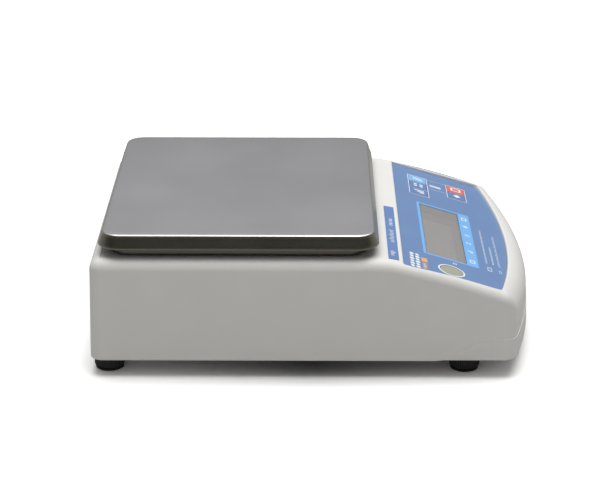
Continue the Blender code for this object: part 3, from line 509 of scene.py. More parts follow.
def side_stations():
    """Where the side walls have points, from the rear to the front corner."""
    ys = [0.095, 0.070, 0.045, 0.020, 0.0, -0.015, BREAK_Y + 0.006, BREAK_Y + 0.002]
    ys += [BREAK_Y - 0.0012 * i for i in range(0, 11)]
    y = ys[-1] - 0.0030
    while y > -0.0955:
        ys.append(y)
        y -= 0.0030
    return ys


def plan_half(inset, fine):
    """The left half of the housing's plan, rear to front, as (x, y, normal x, normal y)."""
    centre_y = FRONT_Y + BOW_RADIUS
    corner_x = -(HALF_WIDTH - FRONT_CORNER)
    reach = math.sqrt((BOW_RADIUS - FRONT_CORNER) ** 2 - corner_x**2)
    corner_y = centre_y - reach
    turn = math.degrees(math.atan2(reach, -corner_x))
    arcs = [((-(HALF_WIDTH - REAR_CORNER), REAR_Y - REAR_CORNER), REAR_CORNER, 90, 180, 5 * fine)]
    arcs.append(((corner_x, corner_y), FRONT_CORNER, 180, 180 + turn, 6 * fine))
    arcs.append(((0, centre_y), BOW_RADIUS, 180 + turn, 270, 11 * fine))
    half = []
    for centre, radius, start, end, steps in arcs:
        kept = max(radius - inset, 0.0008)
        normals = arc_points((0, 0), 1, start, end, steps)
        if radius == BOW_RADIUS:
            normals = normals[1:-1]
        shift = radius - inset - kept
        for nx, ny in normals:
            side = math.copysign(1, nx) if abs(nx) > 1e-9 else 0
            x = centre[0] + nx * kept + side * shift * (radius < BOW_RADIUS)
            y = centre[1] + ny * kept + math.copysign(shift, ny) * (radius < BOW_RADIUS)
            half.append((x, y, nx, ny))
        if radius == REAR_CORNER:
            half += [(-(HALF_WIDTH - inset), y, -1.0, 0.0) for y in side_stations()]
    return half


def housing(name, inset, bottom, roof, edges, foot_edges, fine=1, steps=5):
    """A solid with the housing's plan, from bottom up to the roof line. Edges are (side, front) radii."""
    half = plan_half(inset, fine)
    outline = half + [(0.0, FRONT_Y + inset, 0.0, -1.0)]
    outline += [(-x, y, -nx, ny) for x, y, nx, ny in reversed(half)]
    rings = []

    def ring(radii, height_of):
        points = []
        for (x, y, nx, ny), radius in zip(outline, radii):
            inward, z = height_of(x, y, nx, ny, radius)
            inward += DRAFT * (z - DRAFT_Z)
            points.append((x - nx * inward, y - ny * inward, z))
        rings.append(points)

    def blended(pair):
        return [pair[0] + (pair[1] - pair[0]) * max(0.0, -ny) ** 2 for _, _, _, ny in outline]

    def foot_place(turn):
        return lambda x, y, nx, ny, r: (r * (1 - math.cos(turn)), bottom + r * (1 - math.sin(turn)))

    def roof_place(share):
        def at(x, y, nx, ny, r):
            inner = y - ny * r
            slope = (roof(inner + 0.0005) - roof(inner - 0.0005)) / 0.001
            tilt = math.atan(-ny * slope)
            turn = share * (math.pi / 2 - tilt)
            return r * (1 - math.cos(turn)), roof(inner) - r / math.cos(tilt) + r * math.sin(turn)

        return at

    for i in range(4):
        ring(blended(foot_edges), foot_place(math.pi / 2 * (1 - i / 3)))
    for i in range(steps + 1):
        ring(blended(edges), roof_place(i / steps))
    bm = bmesh.new()
    levels = loft(bm, rings)
    lid = [face for face in bm.faces if len(face.verts) > 8][-1:]
    bmesh.ops.delete(bm, geom=lid, context="FACES_ONLY")
    top = levels[-1]
    count = len(half)
    for i in range(count - 1):
        bm.faces.new((top[i], top[i + 1], top[2 * count - i - 1], top[2 * count - i]))
    bm.faces.new((top[count - 1], top[count], top[count + 1]))
    return mesh_object(name, bm)


def seam_height(y):
    share = min(1.0, max(0.0, (SEAM_START - y) / (SEAM_START - SEAM_END)))
    rise = SEAM_RISE * share**2 * (3 - 2 * share)
    return COVER_BOTTOM + rise + SEAM_SLOPE * max(0.0, SEAM_END - y)


def seam_points(shift):
    end_y = -0.130
    count = 40
    ys = [SEAM_START + (end_y - SEAM_START) * i / count for i in range(count + 1)]
    return [(y, seam_height(y) + shift) for y in ys]


def side_slab(name, profile):
    """A cutter as wide as the housing and more, with this profile of (y, z) points."""
    rings = [[(x, y, z) for y, z in profile] for x in (-0.1, 0.1)]
    return lofted(name, rings)


def housing_cavity(name, low):
    inner_edges = (SIDE_EDGE - WALL, FRONT_EDGE - WALL)
    return housing(name, WALL, low, ceiling_height, inner_edges, SHARP)


# Panel frame


def world_of_panel(u, v, w=0.0):
    cos, sin = math.cos(PANEL_ANGLE), math.sin(PANEL_ANGLE)
    return Vector((u, PANEL_ORIGIN.y + v * cos - w * sin, PANEL_ORIGIN.z + v * sin + w * cos))


def panel_of_world(point):
    cos, sin = math.cos(PANEL_ANGLE), math.sin(PANEL_ANGLE)
    offset = Vector(point) - PANEL_ORIGIN
    return offset.x, offset.y * cos + offset.z * sin, -offset.y * sin + offset.z * cos


def panel_loop():
    """The overlay's outline: straight rear, sides drawing in, bowed front, soft corners."""
    turn = math.degrees(math.asin(PANEL_HALF_FRONT / PANEL_ARC))
    centre = (0, -PANEL_DEPTH + PANEL_ARC)
    front = arc_points(centre, PANEL_ARC, 270 - turn, 270 + turn, 48)
    corners = [(PANEL_HALF_REAR, 0.0), (-PANEL_HALF_REAR, 0.0)]
    return rounded_corners(front + corners, 0.0011)


def rounded_corners(points, radius):
    """Replaces each real corner of a closed outline with a short curve."""
    rounded = []
    count = len(points)
    for i, point in enumerate(points):
        here = Vector(point)
        back = Vector(points[i - 1]) - here
        ahead = Vector(points[(i + 1) % count]) - here
        if back.angle(ahead) > math.radians(160):
            rounded.append(point)
            continue
        start = here + back.normalized() * min(radius, back.length * 0.45)
        end = here + ahead.normalized() * min(radius, ahead.length * 0.45)
        for k in range(CORNER_STEPS + 1):
            t = k / CORNER_STEPS
            rounded.append(tuple(start * (1 - t) ** 2 + here * 2 * t * (1 - t) + end * t**2))
    return rounded


def grown(loop, margin):
    """The closed, anticlockwise outline moved outwards by margin."""
    moved = []
    count = len(loop)
    for i in range(count):
        before, after = Vector(loop[i - 1]), Vector(loop[(i + 1) % count])
        along = (after - before).normalized()
        moved.append((loop[i][0] + along.y * margin, loop[i][1] - along.x * margin))
    return moved


def panel_slab(name, loop, low, high):
    rings = [[world_of_panel(u, v, w) for u, v in loop] for w in (low, high)]
    return lofted(name, rings)


def window_loop(margin, radius=0.0008):
    centre = (sum(WINDOW_X) / 2, sum(WINDOW_V) / 2)
    size = (WINDOW_X[1] - WINDOW_X[0] + 2 * margin, WINDOW_V[1] - WINDOW_V[0] + 2 * margin)
    return rounded_rectangle(size, radius, 4, centre)


def recess_cutter(skin):
    """The overlay's recess: a wall square to the panel, with a soft lip that follows the roof."""
    tree = BVHTree.FromObject(skin, bpy.context.evaluated_depsgraph_get())
    down = world_of_panel(0, 0, -1) - world_of_panel(0, 0, 0)

    def skin_at(u, v):
        start = world_of_panel(u, v, 0.02)
        hit = tree.ray_cast(start, down)[0]
        return panel_of_world(hit)[2] if hit else 0.002

    loop = panel_loop()
    wall = grown(loop, GAP)
    rings = [[world_of_panel(u, v, -RECESS_DEPTH) for u, v in wall]]
    steps = 5
    for i in range(steps + 1):
        turn = math.pi / 2 * i / steps
        outline = grown(loop, GAP + LIP * (1 - math.cos(turn)))
        depth = LIP * (1 - math.sin(turn)) - 0.00004 * (i == steps)
        rings.append([world_of_panel(u, v, max(skin_at(u, v) - depth, -0.0012)) for u, v in outline])
    rings.append([world_of_panel(u, v, 0.012) for u, v in grown(loop, GAP + LIP + 0.00002)])
    return lofted("panel_recess", rings)


def screw_spots():
    return [box_centre(f"case_screw_{i}") for i in range(1, 5)]


def foot_spots():
    return [box_centre(f"foot_wheel_{i}") for i in range(1, 5)]


def build_cover():
    cover = housing("cover_shell", 0.0, COVER_BOTTOM, roof_height, (SIDE_EDGE, FRONT_EDGE),
                    (BOTTOM_EDGE, BOTTOM_EDGE), fine=3, steps=12)
    recess = recess_cutter(cover)
    cutters = [housing_cavity("cover_cavity", 0.004)]
    cutters.append(side_slab("seam_below", seam_points(0.0) + [(-0.130, 0.002), (SEAM_START, 0.002)]))
    cut(cover, cutters)
    level = world_of_panel(*LEVEL_AT)
    cut(cover, [upright("level_boss", LEVEL_BOSS[0], level.z, level.x, level.y, LEVEL_BOSS[1])], "UNION")
    cutters = [recess, panel_slab("display_opening", window_loop(0.0015), -0.008, 0.003)]
    cutters.append(upright("level_well", LEVEL_WELL_LOW, level.z + 0.010, level.x, level.y, LEVEL_WELL_R))
    pan = box_centre("weighing_pan")
    cutters.append(upright("hub_hole", 0.055, 0.070, COLUMN_X, pan.y, HUB_HOLE_RADIUS))
    jack, port = box_centre("dc_jack"), box_centre("serial_port")
    jack_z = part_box("dc_jack")[1].z - JACK_DROP
    port_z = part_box("serial_port")[1].z - PORT_DROP
    cutters.append(lying("jack_hole", *HOLE_Y, jack.x, jack_z, JACK_RADIUS + GAP))
    half_x, half_z = PORT_SIZE[0] / 2 + GAP, PORT_SIZE[1] / 2 + GAP
    low = (port.x - half_x, HOLE_Y[0], port_z - half_z)
    high = (port.x + half_x, HOLE_Y[1], port_z + half_z)
    cutters.append(block("port_hole", low, high))
    cut(cover, cutters)
    return place(soften(cover, 38), "base", COVER_PLASTIC, "top_cover", slot="cover")


def build_tray():
    tray = housing("tray_shell", -TRAY_PROUD, TRAY_BOTTOM, lambda y: TRAY_TOP, (0.0010, 0.0010),
                   (BOTTOM_EDGE, FRONT_BOTTOM_EDGE), fine=3, steps=4)
    cut(tray, [housing_cavity("tray_cavity", FLOOR_TOP)])
    behind = [(-0.130, 0.045), (0.130, 0.045), (0.130, 0.004), (SEAM_START, 0.004)]
    rim = side_slab("cover_wall_zone", seam_points(-SEAM_GAP) + behind)
    core = housing("rim_core", WALL + GAP, 0.002, lambda y: 0.060, (0.001, 0.001), SHARP, fine=3)
    cut(rim, [core])
    cut(tray, [rim])
    unions, holes = [], []
    for i, spot in enumerate(screw_spots(), 1):
        unions.append(upright(f"tray_post_{i}", FLOOR_TOP - 0.001, POST_TOP, *spot.xy, POST_RADIUS))
        seat = POST_TOP - 0.0028
        holes.append(upright(f"counterbore_{i}", 0.004, seat, *spot.xy, SCREW_HEAD[0] + GAP))
        holes.append(upright(f"tray_hole_{i}", 0.004, POST_TOP + 0.002, *spot.xy, SCREW_HOLE))
    for i, spot in enumerate(foot_spots(), 1):
        socket = upright(f"foot_socket_{i}", FLOOR_TOP - 0.001, SOCKET_TOP, *spot.xy, SOCKET_RADIUS)
        if spot.y > 0:
            low, high = (spot.x - 0.01, SOCKET_REACH, 0.0), (spot.x + 0.01, SOCKET_REACH + 0.02, 0.04)
            cut(socket, [block(f"socket_trim_{i}", low, high)])
        unions.append(socket)
        holes.append(upright(f"foot_bore_{i}", 0.004, SOCKET_TOP + 0.004, *spot.xy, STUD_RADIUS + GAP))
    cut(tray, unions, "UNION")
    low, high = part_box("battery_door")
    holes.append(block("battery_opening", low - Vector((GAP, GAP, 0.004)), high + Vector((GAP, GAP, 0.006))))
    plate = rounded_rectangle((0.052, 0.030), 0.002, 5, (0.0, 0.068))
    recess_top = TRAY_BOTTOM + 0.0004
    holes.append(lofted("plate_recess", [[(x, y, z) for x, y in plate] for z in (0.004, recess_top)]))
    cut(tray, holes)
    return place(soften(tray, 38), "base", TRAY_PLASTIC, "bottom_shell", slot="tray")


# Panel pieces


def slab_piece(name, loop, low, high, edge=0.00012):
    """A thin sheet in the panel's plane with softened upper edges."""
    rings = [[world_of_panel(u, v, low) for u, v in loop]]
    rings.append([world_of_panel(u, v, high - edge) for u, v in loop])
    rings.append([world_of_panel(u, v, high - edge * 0.3) for u, v in grown(loop, -edge * 0.3)])
    rings.append([world_of_panel(u, v, high) for u, v in grown(loop, -edge)])
    return lofted(name, rings)


def key_centre(node):
    u, v, _ = panel_of_world(box_centre(node))
    return u, v


def key_loop(centre, size, radius=0.0004):
    return rounded_rectangle(size, radius, 3, centre)


KEYS = ("key_count", "key_sample", "key_unit", "key_tare", "key_power")


def build_overlay():
    overlay = slab_piece("panel_overlay_film", panel_loop(), -OVERLAY_THICK, 0.0, 0.00015)
    cutters = [panel_slab("window_cut", window_loop(0.0), -0.001, 0.001)]
    for node in KEYS:
        size = (KEY_CELL[0] - 0.0004, KEY_CELL[1] - 0.0004)
        cutters.append(panel_slab(f"{node}_cut", key_loop(key_centre(node), size), -0.001, 0.001))
    cutters.append(panel_slab("level_cut", circle(LEVEL_WINDOW_R, 64, LEVEL_AT), -0.001, 0.001))
    cut(overlay, cutters)
    place(soften(overlay, 30), "base", OVERLAY_BLUE, "panel_overlay", slot="overlay")


def build_windows():
    window = slab_piece("display_pane", window_loop(-GAP), -OVERLAY_THICK + 0.0001, -0.00005, 0.00005)
    place(soften(window, 30), "base", WINDOW_CLEAR, "display_window", slot="clear")
    disc = circle(LEVEL_WINDOW_R - GAP, 64, LEVEL_AT)
    pane = slab_piece("level_pane", disc, -OVERLAY_THICK, -0.00005, 0.00005)
    place(soften(pane, 30), "base", LEVEL_CLEAR, "level_window", slot="clear")


def build_keys():
    """Embossed fields: a low pillow with a stepped rim."""
    paints = {"key_unit": KEY_SKY, "key_power": KEY_RED}
    low, high = -0.00035, 0.00025
    for node in KEYS:
        centre = key_centre(node)
        size = (KEY_CELL[0] - 0.0010, KEY_CELL[1] - 0.0010)
        rings = []
        for margin, w in ((0.0, low), (0.0, high - 0.0002), (0.00012, high - 0.00006), (0.0005, high),
                          (0.0016, high + 0.00002), (0.0034, high + 0.00003)):
            smaller = (size[0] - 2 * margin, size[1] - 2 * margin)
            loop = key_loop(centre, smaller, max(0.0005 - margin, 0.0002))
            rings.append([world_of_panel(u, v, w) for u, v in loop])
        key = lofted(f"{node}_field", rings)
        soften(key, 40)
        slot = {"key_unit": "key_light", "key_power": "key_red"}.get(node, "key_dark")
        place(key, node, paints.get(node, KEY_BLUE), node, slot=slot)


def ink(name, rectangles, paint, body="base", lift=0.0):
    """Printed marks on the panel: rectangles of (u, v, width, height, turn), each a thin film of ink."""
    bm = bmesh.new()
    for u, v, width, height, *turn in rectangles:
        angle = turn[0] if turn else 0.0
        cos, sin = math.cos(angle), math.sin(angle)
        corners = ((-width, -height), (width, -height), (width, height), (-width, height))
        loop = [(u + (a * cos - b * sin) / 2, v + (a * sin + b * cos) / 2) for a, b in corners]
        loft(bm, [[world_of_panel(x, y, w) for x, y in loop] for w in (lift - 0.00002, lift + INK)])
    return place(mesh_object(name, bm), body, paint)


def ink_frame(u_low, v_low, u_high, v_high, line):
    """Four strips round a rectangle, outside edges on its sides."""
    mid_u, mid_v = (u_low + u_high) / 2, (v_low + v_high) / 2
    wide, tall = u_high - u_low, v_high - v_low
    return [
        (mid_u, v_low + line / 2, wide, line), (mid_u, v_high - line / 2, wide, line),
        (u_low + line / 2, mid_v, line, tall - 2 * line), (u_high - line / 2, mid_v, line, tall - 2 * line),
    ]


def word(u, v, length, height, seed, pitch=0.0011):
    """A greeked word: a row along the panel's u of upright strokes, uneven in width and height."""
    strokes = []
    count = max(1, int(length / pitch))
    for i in range(count):
        pick = (seed * 7 + i * 5 + i * i) % 6
        tall = height * (0.72 if pick % 3 else 1.0)
        wide = pitch * (0.42 + 0.08 * (pick % 4))
        rise = (height - tall) * (0.5 if pick % 2 else -0.5)
        strokes.append((u - length / 2 + pitch * (i + 0.5), v + rise, wide, tall))
    return strokes


def glyph(u, v, width, height, seed):
    """An abstract symbol: a frame, rising bars, four dots, two slanted bars or a lozenge."""
    kinds = (
        [(0, 0.36, 0.9, 0.16), (0, -0.36, 0.9, 0.16), (-0.37, 0, 0.16, 0.6), (0.37, 0, 0.16, 0.6)],
        [(-0.32, -0.22, 0.2, 0.4), (0, -0.12, 0.2, 0.6), (0.32, 0, 0.2, 0.85)],
        [(a, b, 0.28, 0.28) for b in (0.25, -0.25) for a in (-0.25, 0.25)],
        [(-0.2, 0, 0.17, 0.85, -0.35), (0.2, 0, 0.17, 0.85, -0.35)],
        [(0, 0, 0.58, 0.50, math.pi / 4)],
    )
    rectangles = kinds[seed % len(kinds)]
    return [(u + a * width, v + b * height, c * width, d * height, *turn) for a, b, c, d, *turn in rectangles]


def build_prints():
    line = 0.0004
    cells = []
    for node in KEYS:
        u, v = key_centre(node)
        half_u, half_v = KEY_CELL[0] / 2 + line / 2, KEY_CELL[1] / 2 + line / 2
        cells += ink_frame(u - half_u, v - half_v, u + half_u, v + half_v, line)
    rear_v = key_centre("key_sample")[1] - KEY_CELL[1] / 2
    front_v = key_centre("key_tare")[1] + KEY_CELL[1] / 2
    for u in (key_centre("key_unit")[0] + 0.0045, key_centre("key_tare")[0] + 0.0005):
        cells.append((u, (rear_v + front_v) / 2, 0.00022, rear_v - front_v - 0.0004))
    ink("key_outlines", cells, WHITE_INK)
    middle = (key_centre("key_count")[0] + 0.0125 + key_centre("key_power")[0] - KEY_CELL[0] / 2) / 2
    legend = word(middle + 0.0035, (rear_v + front_v) / 2 + 0.0010, 0.0048, 0.0066, 3, 0.0016)
    ink("key_legend", legend, WHITE_INK)
    frame_low = (WINDOW_X[0] - 0.0014, WINDOW_V[0] - 0.0065)
    frame_high = (WINDOW_X[1] + 0.0018, WINDOW_V[1] + 0.0016)
    across, wide = (frame_low[0] + frame_high[0]) / 2, frame_high[0] - frame_low[0]
    sides = [
        (across, (WINDOW_V[1] + frame_high[1]) / 2, wide, 0.0016),
        (across, (WINDOW_V[0] + frame_low[1]) / 2, wide, 0.0065),
        ((frame_low[0] + WINDOW_X[0]) / 2, sum(WINDOW_V) / 2, 0.0014, WINDOW_V[1] - WINDOW_V[0]),
        ((frame_high[0] + WINDOW_X[1]) / 2, sum(WINDOW_V) / 2, 0.0018, WINDOW_V[1] - WINDOW_V[0]),
    ]
    ink("display_frame", sides, SKY_INK)
    marks = []
    for i, share in enumerate((0.09, 0.27, 0.43, 0.58, 0.75, 0.90)):
        u = frame_low[0] + wide * share
        marks += glyph(u, WINDOW_V[0] - 0.0034, 0.0048 if i in (0, 4, 5) else 0.0030, 0.0034, i)
    ink("display_marks", marks, WHITE_INK, lift=INK)
    for i, node in enumerate(KEYS):
        u, v = key_centre(node)
        ink(f"{node}_mark", glyph(u, v, 0.0056, 0.0068, i + 1), WHITE_INK, node, 0.00028)
    notes = []
    for u, v, length, seed in ((-0.0190, -0.0472, 0.0500, 5), (-0.0300, -0.0505, 0.0265, 2),
                               (-0.0215, -0.0538, 0.0460, 4)):
        notes += word(u, v, length, 0.0014, seed, 0.0020)
    notes += glyph(-0.0515, -0.0480, 0.0060, 0.0028, 0) + glyph(-0.0515, -0.0538, 0.0045, 0.0020, 2)
    ink("small_notes", notes, PALE_INK)
    bars = []
    for row, (v, count) in enumerate(((-0.0050, 6), (-0.0080, 6))):
        for i in range(count):
            bars.append((-0.0605 - 0.0034 * i, v, 0.0024, 0.0021 - 0.0004 * ((i + row) % 2), 0.25))
    ink("corner_bars", bars, WHITE_INK)
    ink("corner_tag", [(-0.0652, -0.0117, 0.0052, 0.0031)], ORANGE_INK)
    ink("corner_tag_rest", [(-0.0732, -0.0117, 0.0108, 0.0031)], TAG_BROWN)
    ink("corner_tag_marks", word(-0.0732, -0.0117, 0.0096, 0.0018, 1, 0.0016), PALE_INK, lift=INK)
    ink("lamp_dot", glyph(-0.0582, -0.0285, 0.0024, 0.0022, 0), WHITE_INK)
    inner, outer = circle(LEVEL_WINDOW_R, 64, LEVEL_AT), circle(LEVEL_WINDOW_R + 0.0009, 64, LEVEL_AT)
    bm = bmesh.new()
    sections = ((outer, -0.00002), (outer, INK), (inner, INK), (inner, -0.00002))
    levels = [[bm.verts.new(world_of_panel(u, v, w)) for u, v in loop] for loop, w in sections]
    for a, b in zip(levels, levels[1:] + levels[:1]):
        for i in range(len(a)):
            j = (i + 1) % len(a)
            bm.faces.new((a[i], a[j], b[j], b[i]))
    place(mesh_object("level_ring", bm), "base", WHITE_INK)


def build_display():
    """The glass, with a darker film of painted shadow on it, and the level vial with its bubble."""
    top = -RECESS_DEPTH - PANEL_WALL - GAP
    thick = 0.0026
    glass = slab_piece("lcd_panel", window_loop(0.003, 0.0010), top - thick, top, 0.0002)
    place(soften(glass, 30), "base", LCD_GREY, "display_glass", slot="display")
    # Painted shadow: a darker film on the glass, about 13 mm wide at the far (+x) end and 2.4 to 4.4 mm wide
    # on the other sides, where the walls of the window shade the recessed glass.
    shadow_band = slab_piece("lcd_shadow_band", window_loop(0.0014, 0.0006), top + 0.00002, top + 0.00025, 0.00003)
    inner = rounded_rectangle((0.0640, 0.0170), 0.0008, 4, (-0.0205, -0.0240))
    cut(shadow_band, [panel_slab("shadow_band_cut", inner, top - 0.001, top + 0.001)])
    place(soften(shadow_band, 30), "base", LCD_PAINTED_SHADOW)
    low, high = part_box("level_vial")
    radius = (high.x - low.x) / 2
    centre = box_centre("level_vial")
    tall = high.z - low.z
    profile = [(radius - 0.0004, 0.0), (radius, 0.0004), (radius, tall - 0.0008)]
    profile += [(radius - 0.0002, tall - 0.0003), (radius - 0.0007, tall), (radius * 0.6, tall - 0.0001),
                (radius * 0.3, tall - 0.00015)]
    vial = turned("level_vial_body", profile, 56, (centre.x, centre.y, low.z))
    place(soften(vial, 50), "base", VIAL_LIQUID, "level_vial", slot="vial")
    profile = [(0.0006, 0.0), (0.0015, 0.0001), (0.0019, 0.0003), (0.0015, 0.0005), (0.0007, 0.0006)]
    bubble = turned("level_bubble", profile, 32, (centre.x + 0.0006, centre.y - 0.0003, high.z - 0.0003))
    place(soften(bubble, 60), "base", BUBBLE)


def build_label():
    """The strip on the roof's bend, and its print, both following the roof."""
    low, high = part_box("label_strip")
    lift = 0.00010

    def strip(name, rectangles, base, thick, paint, *nodes, slot=None):
        bm = bmesh.new()
        for x_low, y_low, x_high, y_high in rectangles:
            rows = 8
            rings = []
            for x in (x_low, x_high):
                ys = [y_low + (y_high - y_low) * i / rows for i in range(rows + 1)]
                under = [(x, y, roof_height(y) + base) for y in ys]
                over = [(x, y, roof_height(y) + base + thick) for y in reversed(ys)]
                rings.append(under + over)
            loft(bm, rings)
        piece = mesh_object(name, bm)
        return place(soften(piece, 30), "base", paint, *nodes, slot=slot)

    film = [(low.x, low.y, high.x, high.y)]
    strip("label_strip_film", film, lift, 0.0002, LABEL_BLUE, "label_strip", slot="label")
    marks = []
    middle = (low.y + high.y) / 2
    for start, length, pitch, seed in ((-0.0755, 0.0075, 0.0018, 1), (-0.0565, 0.0200, 0.0021, 4),
                                       (-0.0315, 0.0120, 0.0022, 2)):
        for u, v, width, height in word(start + length / 2, middle, length, 0.0024, seed, pitch):
            marks.append((u - width / 2, v - height / 2, u + width / 2, v + height / 2))
    strip("label_strip_marks", marks, lift + 0.0002 - 0.00002, INK, PALE_INK)


# Pan and its support


def pressed_sheet(name, top_size, corner, top, low, flare, sheet, bend):
    """A pressed steel tray, turned down all round, with rolled edges."""
    pan = box_centre("weighing_pan")
    rings = []

    def ring(inward, z):
        size = (top_size[0] - 2 * inward, top_size[1] - 2 * inward)
        loop = rounded_rectangle(size, max(corner - inward, 0.0012), 14, (pan.x, pan.y))
        rings.append([(x, y, z) for x, y in loop])

    def slope(z):
        return -flare * (top - bend - z) / (top - bend - low)

    ring(0.030, top - sheet)
    ring(bend * 0.8 + sheet, top - sheet)
    ring(bend * 0.3 + sheet, top - sheet - bend * 0.3)
    ring(sheet, top - sheet - bend * 0.7)
    for i in range(1, 5):
        z = top - bend - (top - bend - low - 0.0004) * i / 4
        ring(slope(z) + sheet, z)
    ring(slope(low) + sheet * 0.72, low + 0.0001)
    ring(slope(low) + sheet * 0.45, low)
    ring(slope(low) + sheet * 0.15, low + 0.0001)
    ring(slope(low + 0.0004), low + 0.0004)
    for i in range(3, -1, -1):
        z = top - bend - (top - bend - low - 0.0004) * i / 4
        ring(slope(z), z)
    steps = 8
    for i in range(1, steps + 1):
        turn = math.pi / 2 * i / steps
        ring(bend * (1 - math.cos(turn)), top - bend * (1 - math.sin(turn)))
    ring(bend + 0.004, top)
    ring(0.030, top)
    return lofted(name, rings)


def build_pan():
    low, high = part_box("weighing_pan")
    flare = 0.0022
    size = (high.x - low.x - 2 * flare, high.y - low.y - 2 * flare)
    pan = pressed_sheet("pan_plate", size, 0.0095, high.z, low.z, flare, 0.0010, 0.0012)
    soften(pan, 50, weighted=False)
    place(pan, "weighing_pan", PAN_STEEL, "weighing_pan", slot="pan")


def build_support():
    low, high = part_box("pan_support")
    flare = 0.0004
    size = (high.x - low.x - 2 * flare, high.y - low.y - 2 * flare)
    plate = pressed_sheet("support_plate", size, 0.0085, high.z, low.z, flare, 0.0014, 0.0016)
    holes = []
    for i in (1, 2):
        spot = box_centre(f"support_screw_{i}")
        holes.append(upright(f"support_hole_{i}", low.z - 0.01, high.z + 0.01, spot.x, spot.y, 0.0023))
    cut(plate, holes)
    soften(plate, 50, weighted=False)
    place(plate, "pan_support", SUPPORT_STEEL_PAINTED_SHADE, "pan_support", slot="support")


# Feet, door, sockets


def build_feet():
    """Thumb wheels with fine rounded ridges over a smooth collar, and ribbed rubber pads."""
    ridges, per = 44, 6
    for i in range(1, 5):
        low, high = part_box(f"foot_wheel_{i}")
        centre = (low + high) / 2
        radius = (high.x - low.x) / 2
        depth = 0.00042
        levels = [(low.z, -0.0006, 0.0), (low.z + 0.0002, -0.0003, 0.0), (low.z + 0.0005, -0.0001, 0.4),
                  (low.z + 0.0009, 0.0, 1.0), (high.z - 0.0010, 0.0, 1.0), (high.z - 0.0005, -0.0001, 0.3),
                  (high.z, -0.0005, 0.0)]
        rings = []
        for z, inward, share in levels:
            loop = []
            for k in range(ridges * per):
                turn = 2 * math.pi * k / (ridges * per)
                wave = (1 - math.cos(ridges * turn)) / 2
                r = radius + inward - depth * share * wave
                loop.append((centre.x + r * math.cos(turn), centre.y + r * math.sin(turn), z))
            rings.append(loop)
        wheel = lofted(f"foot_wheel_{i}_ridged", rings)
        cut(wheel, [upright(f"wheel_bore_{i}", low.z + 0.0013, 0.02, *centre.xy, STUD_RADIUS + GAP / 2)])
        place(soften(wheel, 50), f"foot_{i}_wheel", FOOT_PLASTIC, f"foot_wheel_{i}", slot="foot")
        low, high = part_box(f"foot_pad_{i}")
        radius = (high.x - low.x) / 2
        profile = [(radius * 0.30, low.z + 0.0002), (radius * 0.34, low.z), (radius * 0.60, low.z),
                   (radius * 0.64, low.z + 0.00025), (radius * 0.68, low.z), (radius - 0.0005, low.z),
                   (radius - 0.0001, low.z + 0.0002), (radius, low.z + 0.0005), (radius, high.z)]
        pad = turned(f"foot_pad_{i}_ribbed", profile, 56, (centre.x, centre.y, 0.0))
        place(soften(pad, 40), f"foot_{i}_pad", RUBBER, f"foot_pad_{i}", slot="rubber")


def build_door():
    """The battery door, with a rounded rim, two finger slots and a row of grip ribs."""
    low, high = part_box("battery_door")
    centre = (low + high) / 2
    size = (high.x - low.x, high.y - low.y)
    rings = []
    for inward, z in ((0.0006, low.z), (0.0002, low.z + 0.00015), (0.0, low.z + 0.0005), (0.0, high.z)):
        loop = rounded_rectangle((size[0] - 2 * inward, size[1] - 2 * inward), 0.0008, 4, centre[:2])
        rings.append([(x, y, z) for x, y in loop])
    door = lofted("battery_door_lid", rings)
    cutters = []
    for i, x in enumerate((-0.030, 0.030), 1):
        slot = rounded_rectangle((0.014, 0.003), 0.0014, 6, (centre.x + x, centre.y - 0.020))
        rings = [[(a, b, z) for a, b in slot] for z in (low.z - 0.001, low.z + 0.0009)]
        cutters.append(lofted(f"door_slot_{i}", rings))
    for i in range(7):
        y = centre.y + 0.0215 - 0.0022 * i
        groove = rounded_rectangle((0.030, 0.0008), 0.00039, 4, (centre.x, y))
        rings = [[(a, b, z) for a, b in groove] for z in (low.z - 0.001, low.z + 0.0004)]
        cutters.append(lofted(f"door_groove_{i}", rings))
    cut(door, cutters)
    place(soften(door, 35), "battery_door", TRAY_PLASTIC, "battery_door", slot="tray")


def build_sockets():
    """Pins and screw posts on the serial port, and the centre pin of the power jack."""
    low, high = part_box("serial_port")
    x, z, rear = (low.x + high.x) / 2, high.z - PORT_DROP, high.y
    for side in (-1, 1):
        rings = []
        for y, r in ((rear - 0.0032, 0.0021), (rear - 0.0007, 0.0021), (rear - 0.0004, 0.0018)):
            hexagon = circle(r, 6)
            rings.append([(x + side * 0.0117 + a, y, z + b) for a, b in hexagon])
        hand = "left" if side > 0 else "right"
        post = lofted(f"port_post_{hand}", rings)
        place(soften(post, 30), "base", ZINC)
    bm = bmesh.new()
    for count, rise in ((5, 0.0013), (4, -0.0013)):
        for i in range(count):
            px = x + (i - (count - 1) / 2) * 0.0026
            tip = ((rear - 0.0030, 0.00045), (rear - 0.0006, 0.00045), (rear - 0.0003, 0.0002))
            loft(bm, [[(px + a, y, z + rise + b) for a, b in circle(r, 12)] for y, r in tip])
    pins = mesh_object("port_pins", bm)
    place(soften(pins, 40), "base", GOLD)
    low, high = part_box("dc_jack")
    x, z, rear = (low.x + high.x) / 2, high.z - JACK_DROP, high.y
    rings = []
    for back, r in ((0.0080, 0.0010), (0.0016, 0.0010), (0.0011, 0.0008), (0.0009, 0.0004)):
        rings.append([(x + a, rear - back, z + b) for a, b in circle(r, 24)])
    pin = lofted("jack_pin", rings)
    place(soften(pin, 40), "base", GOLD)


# Stage


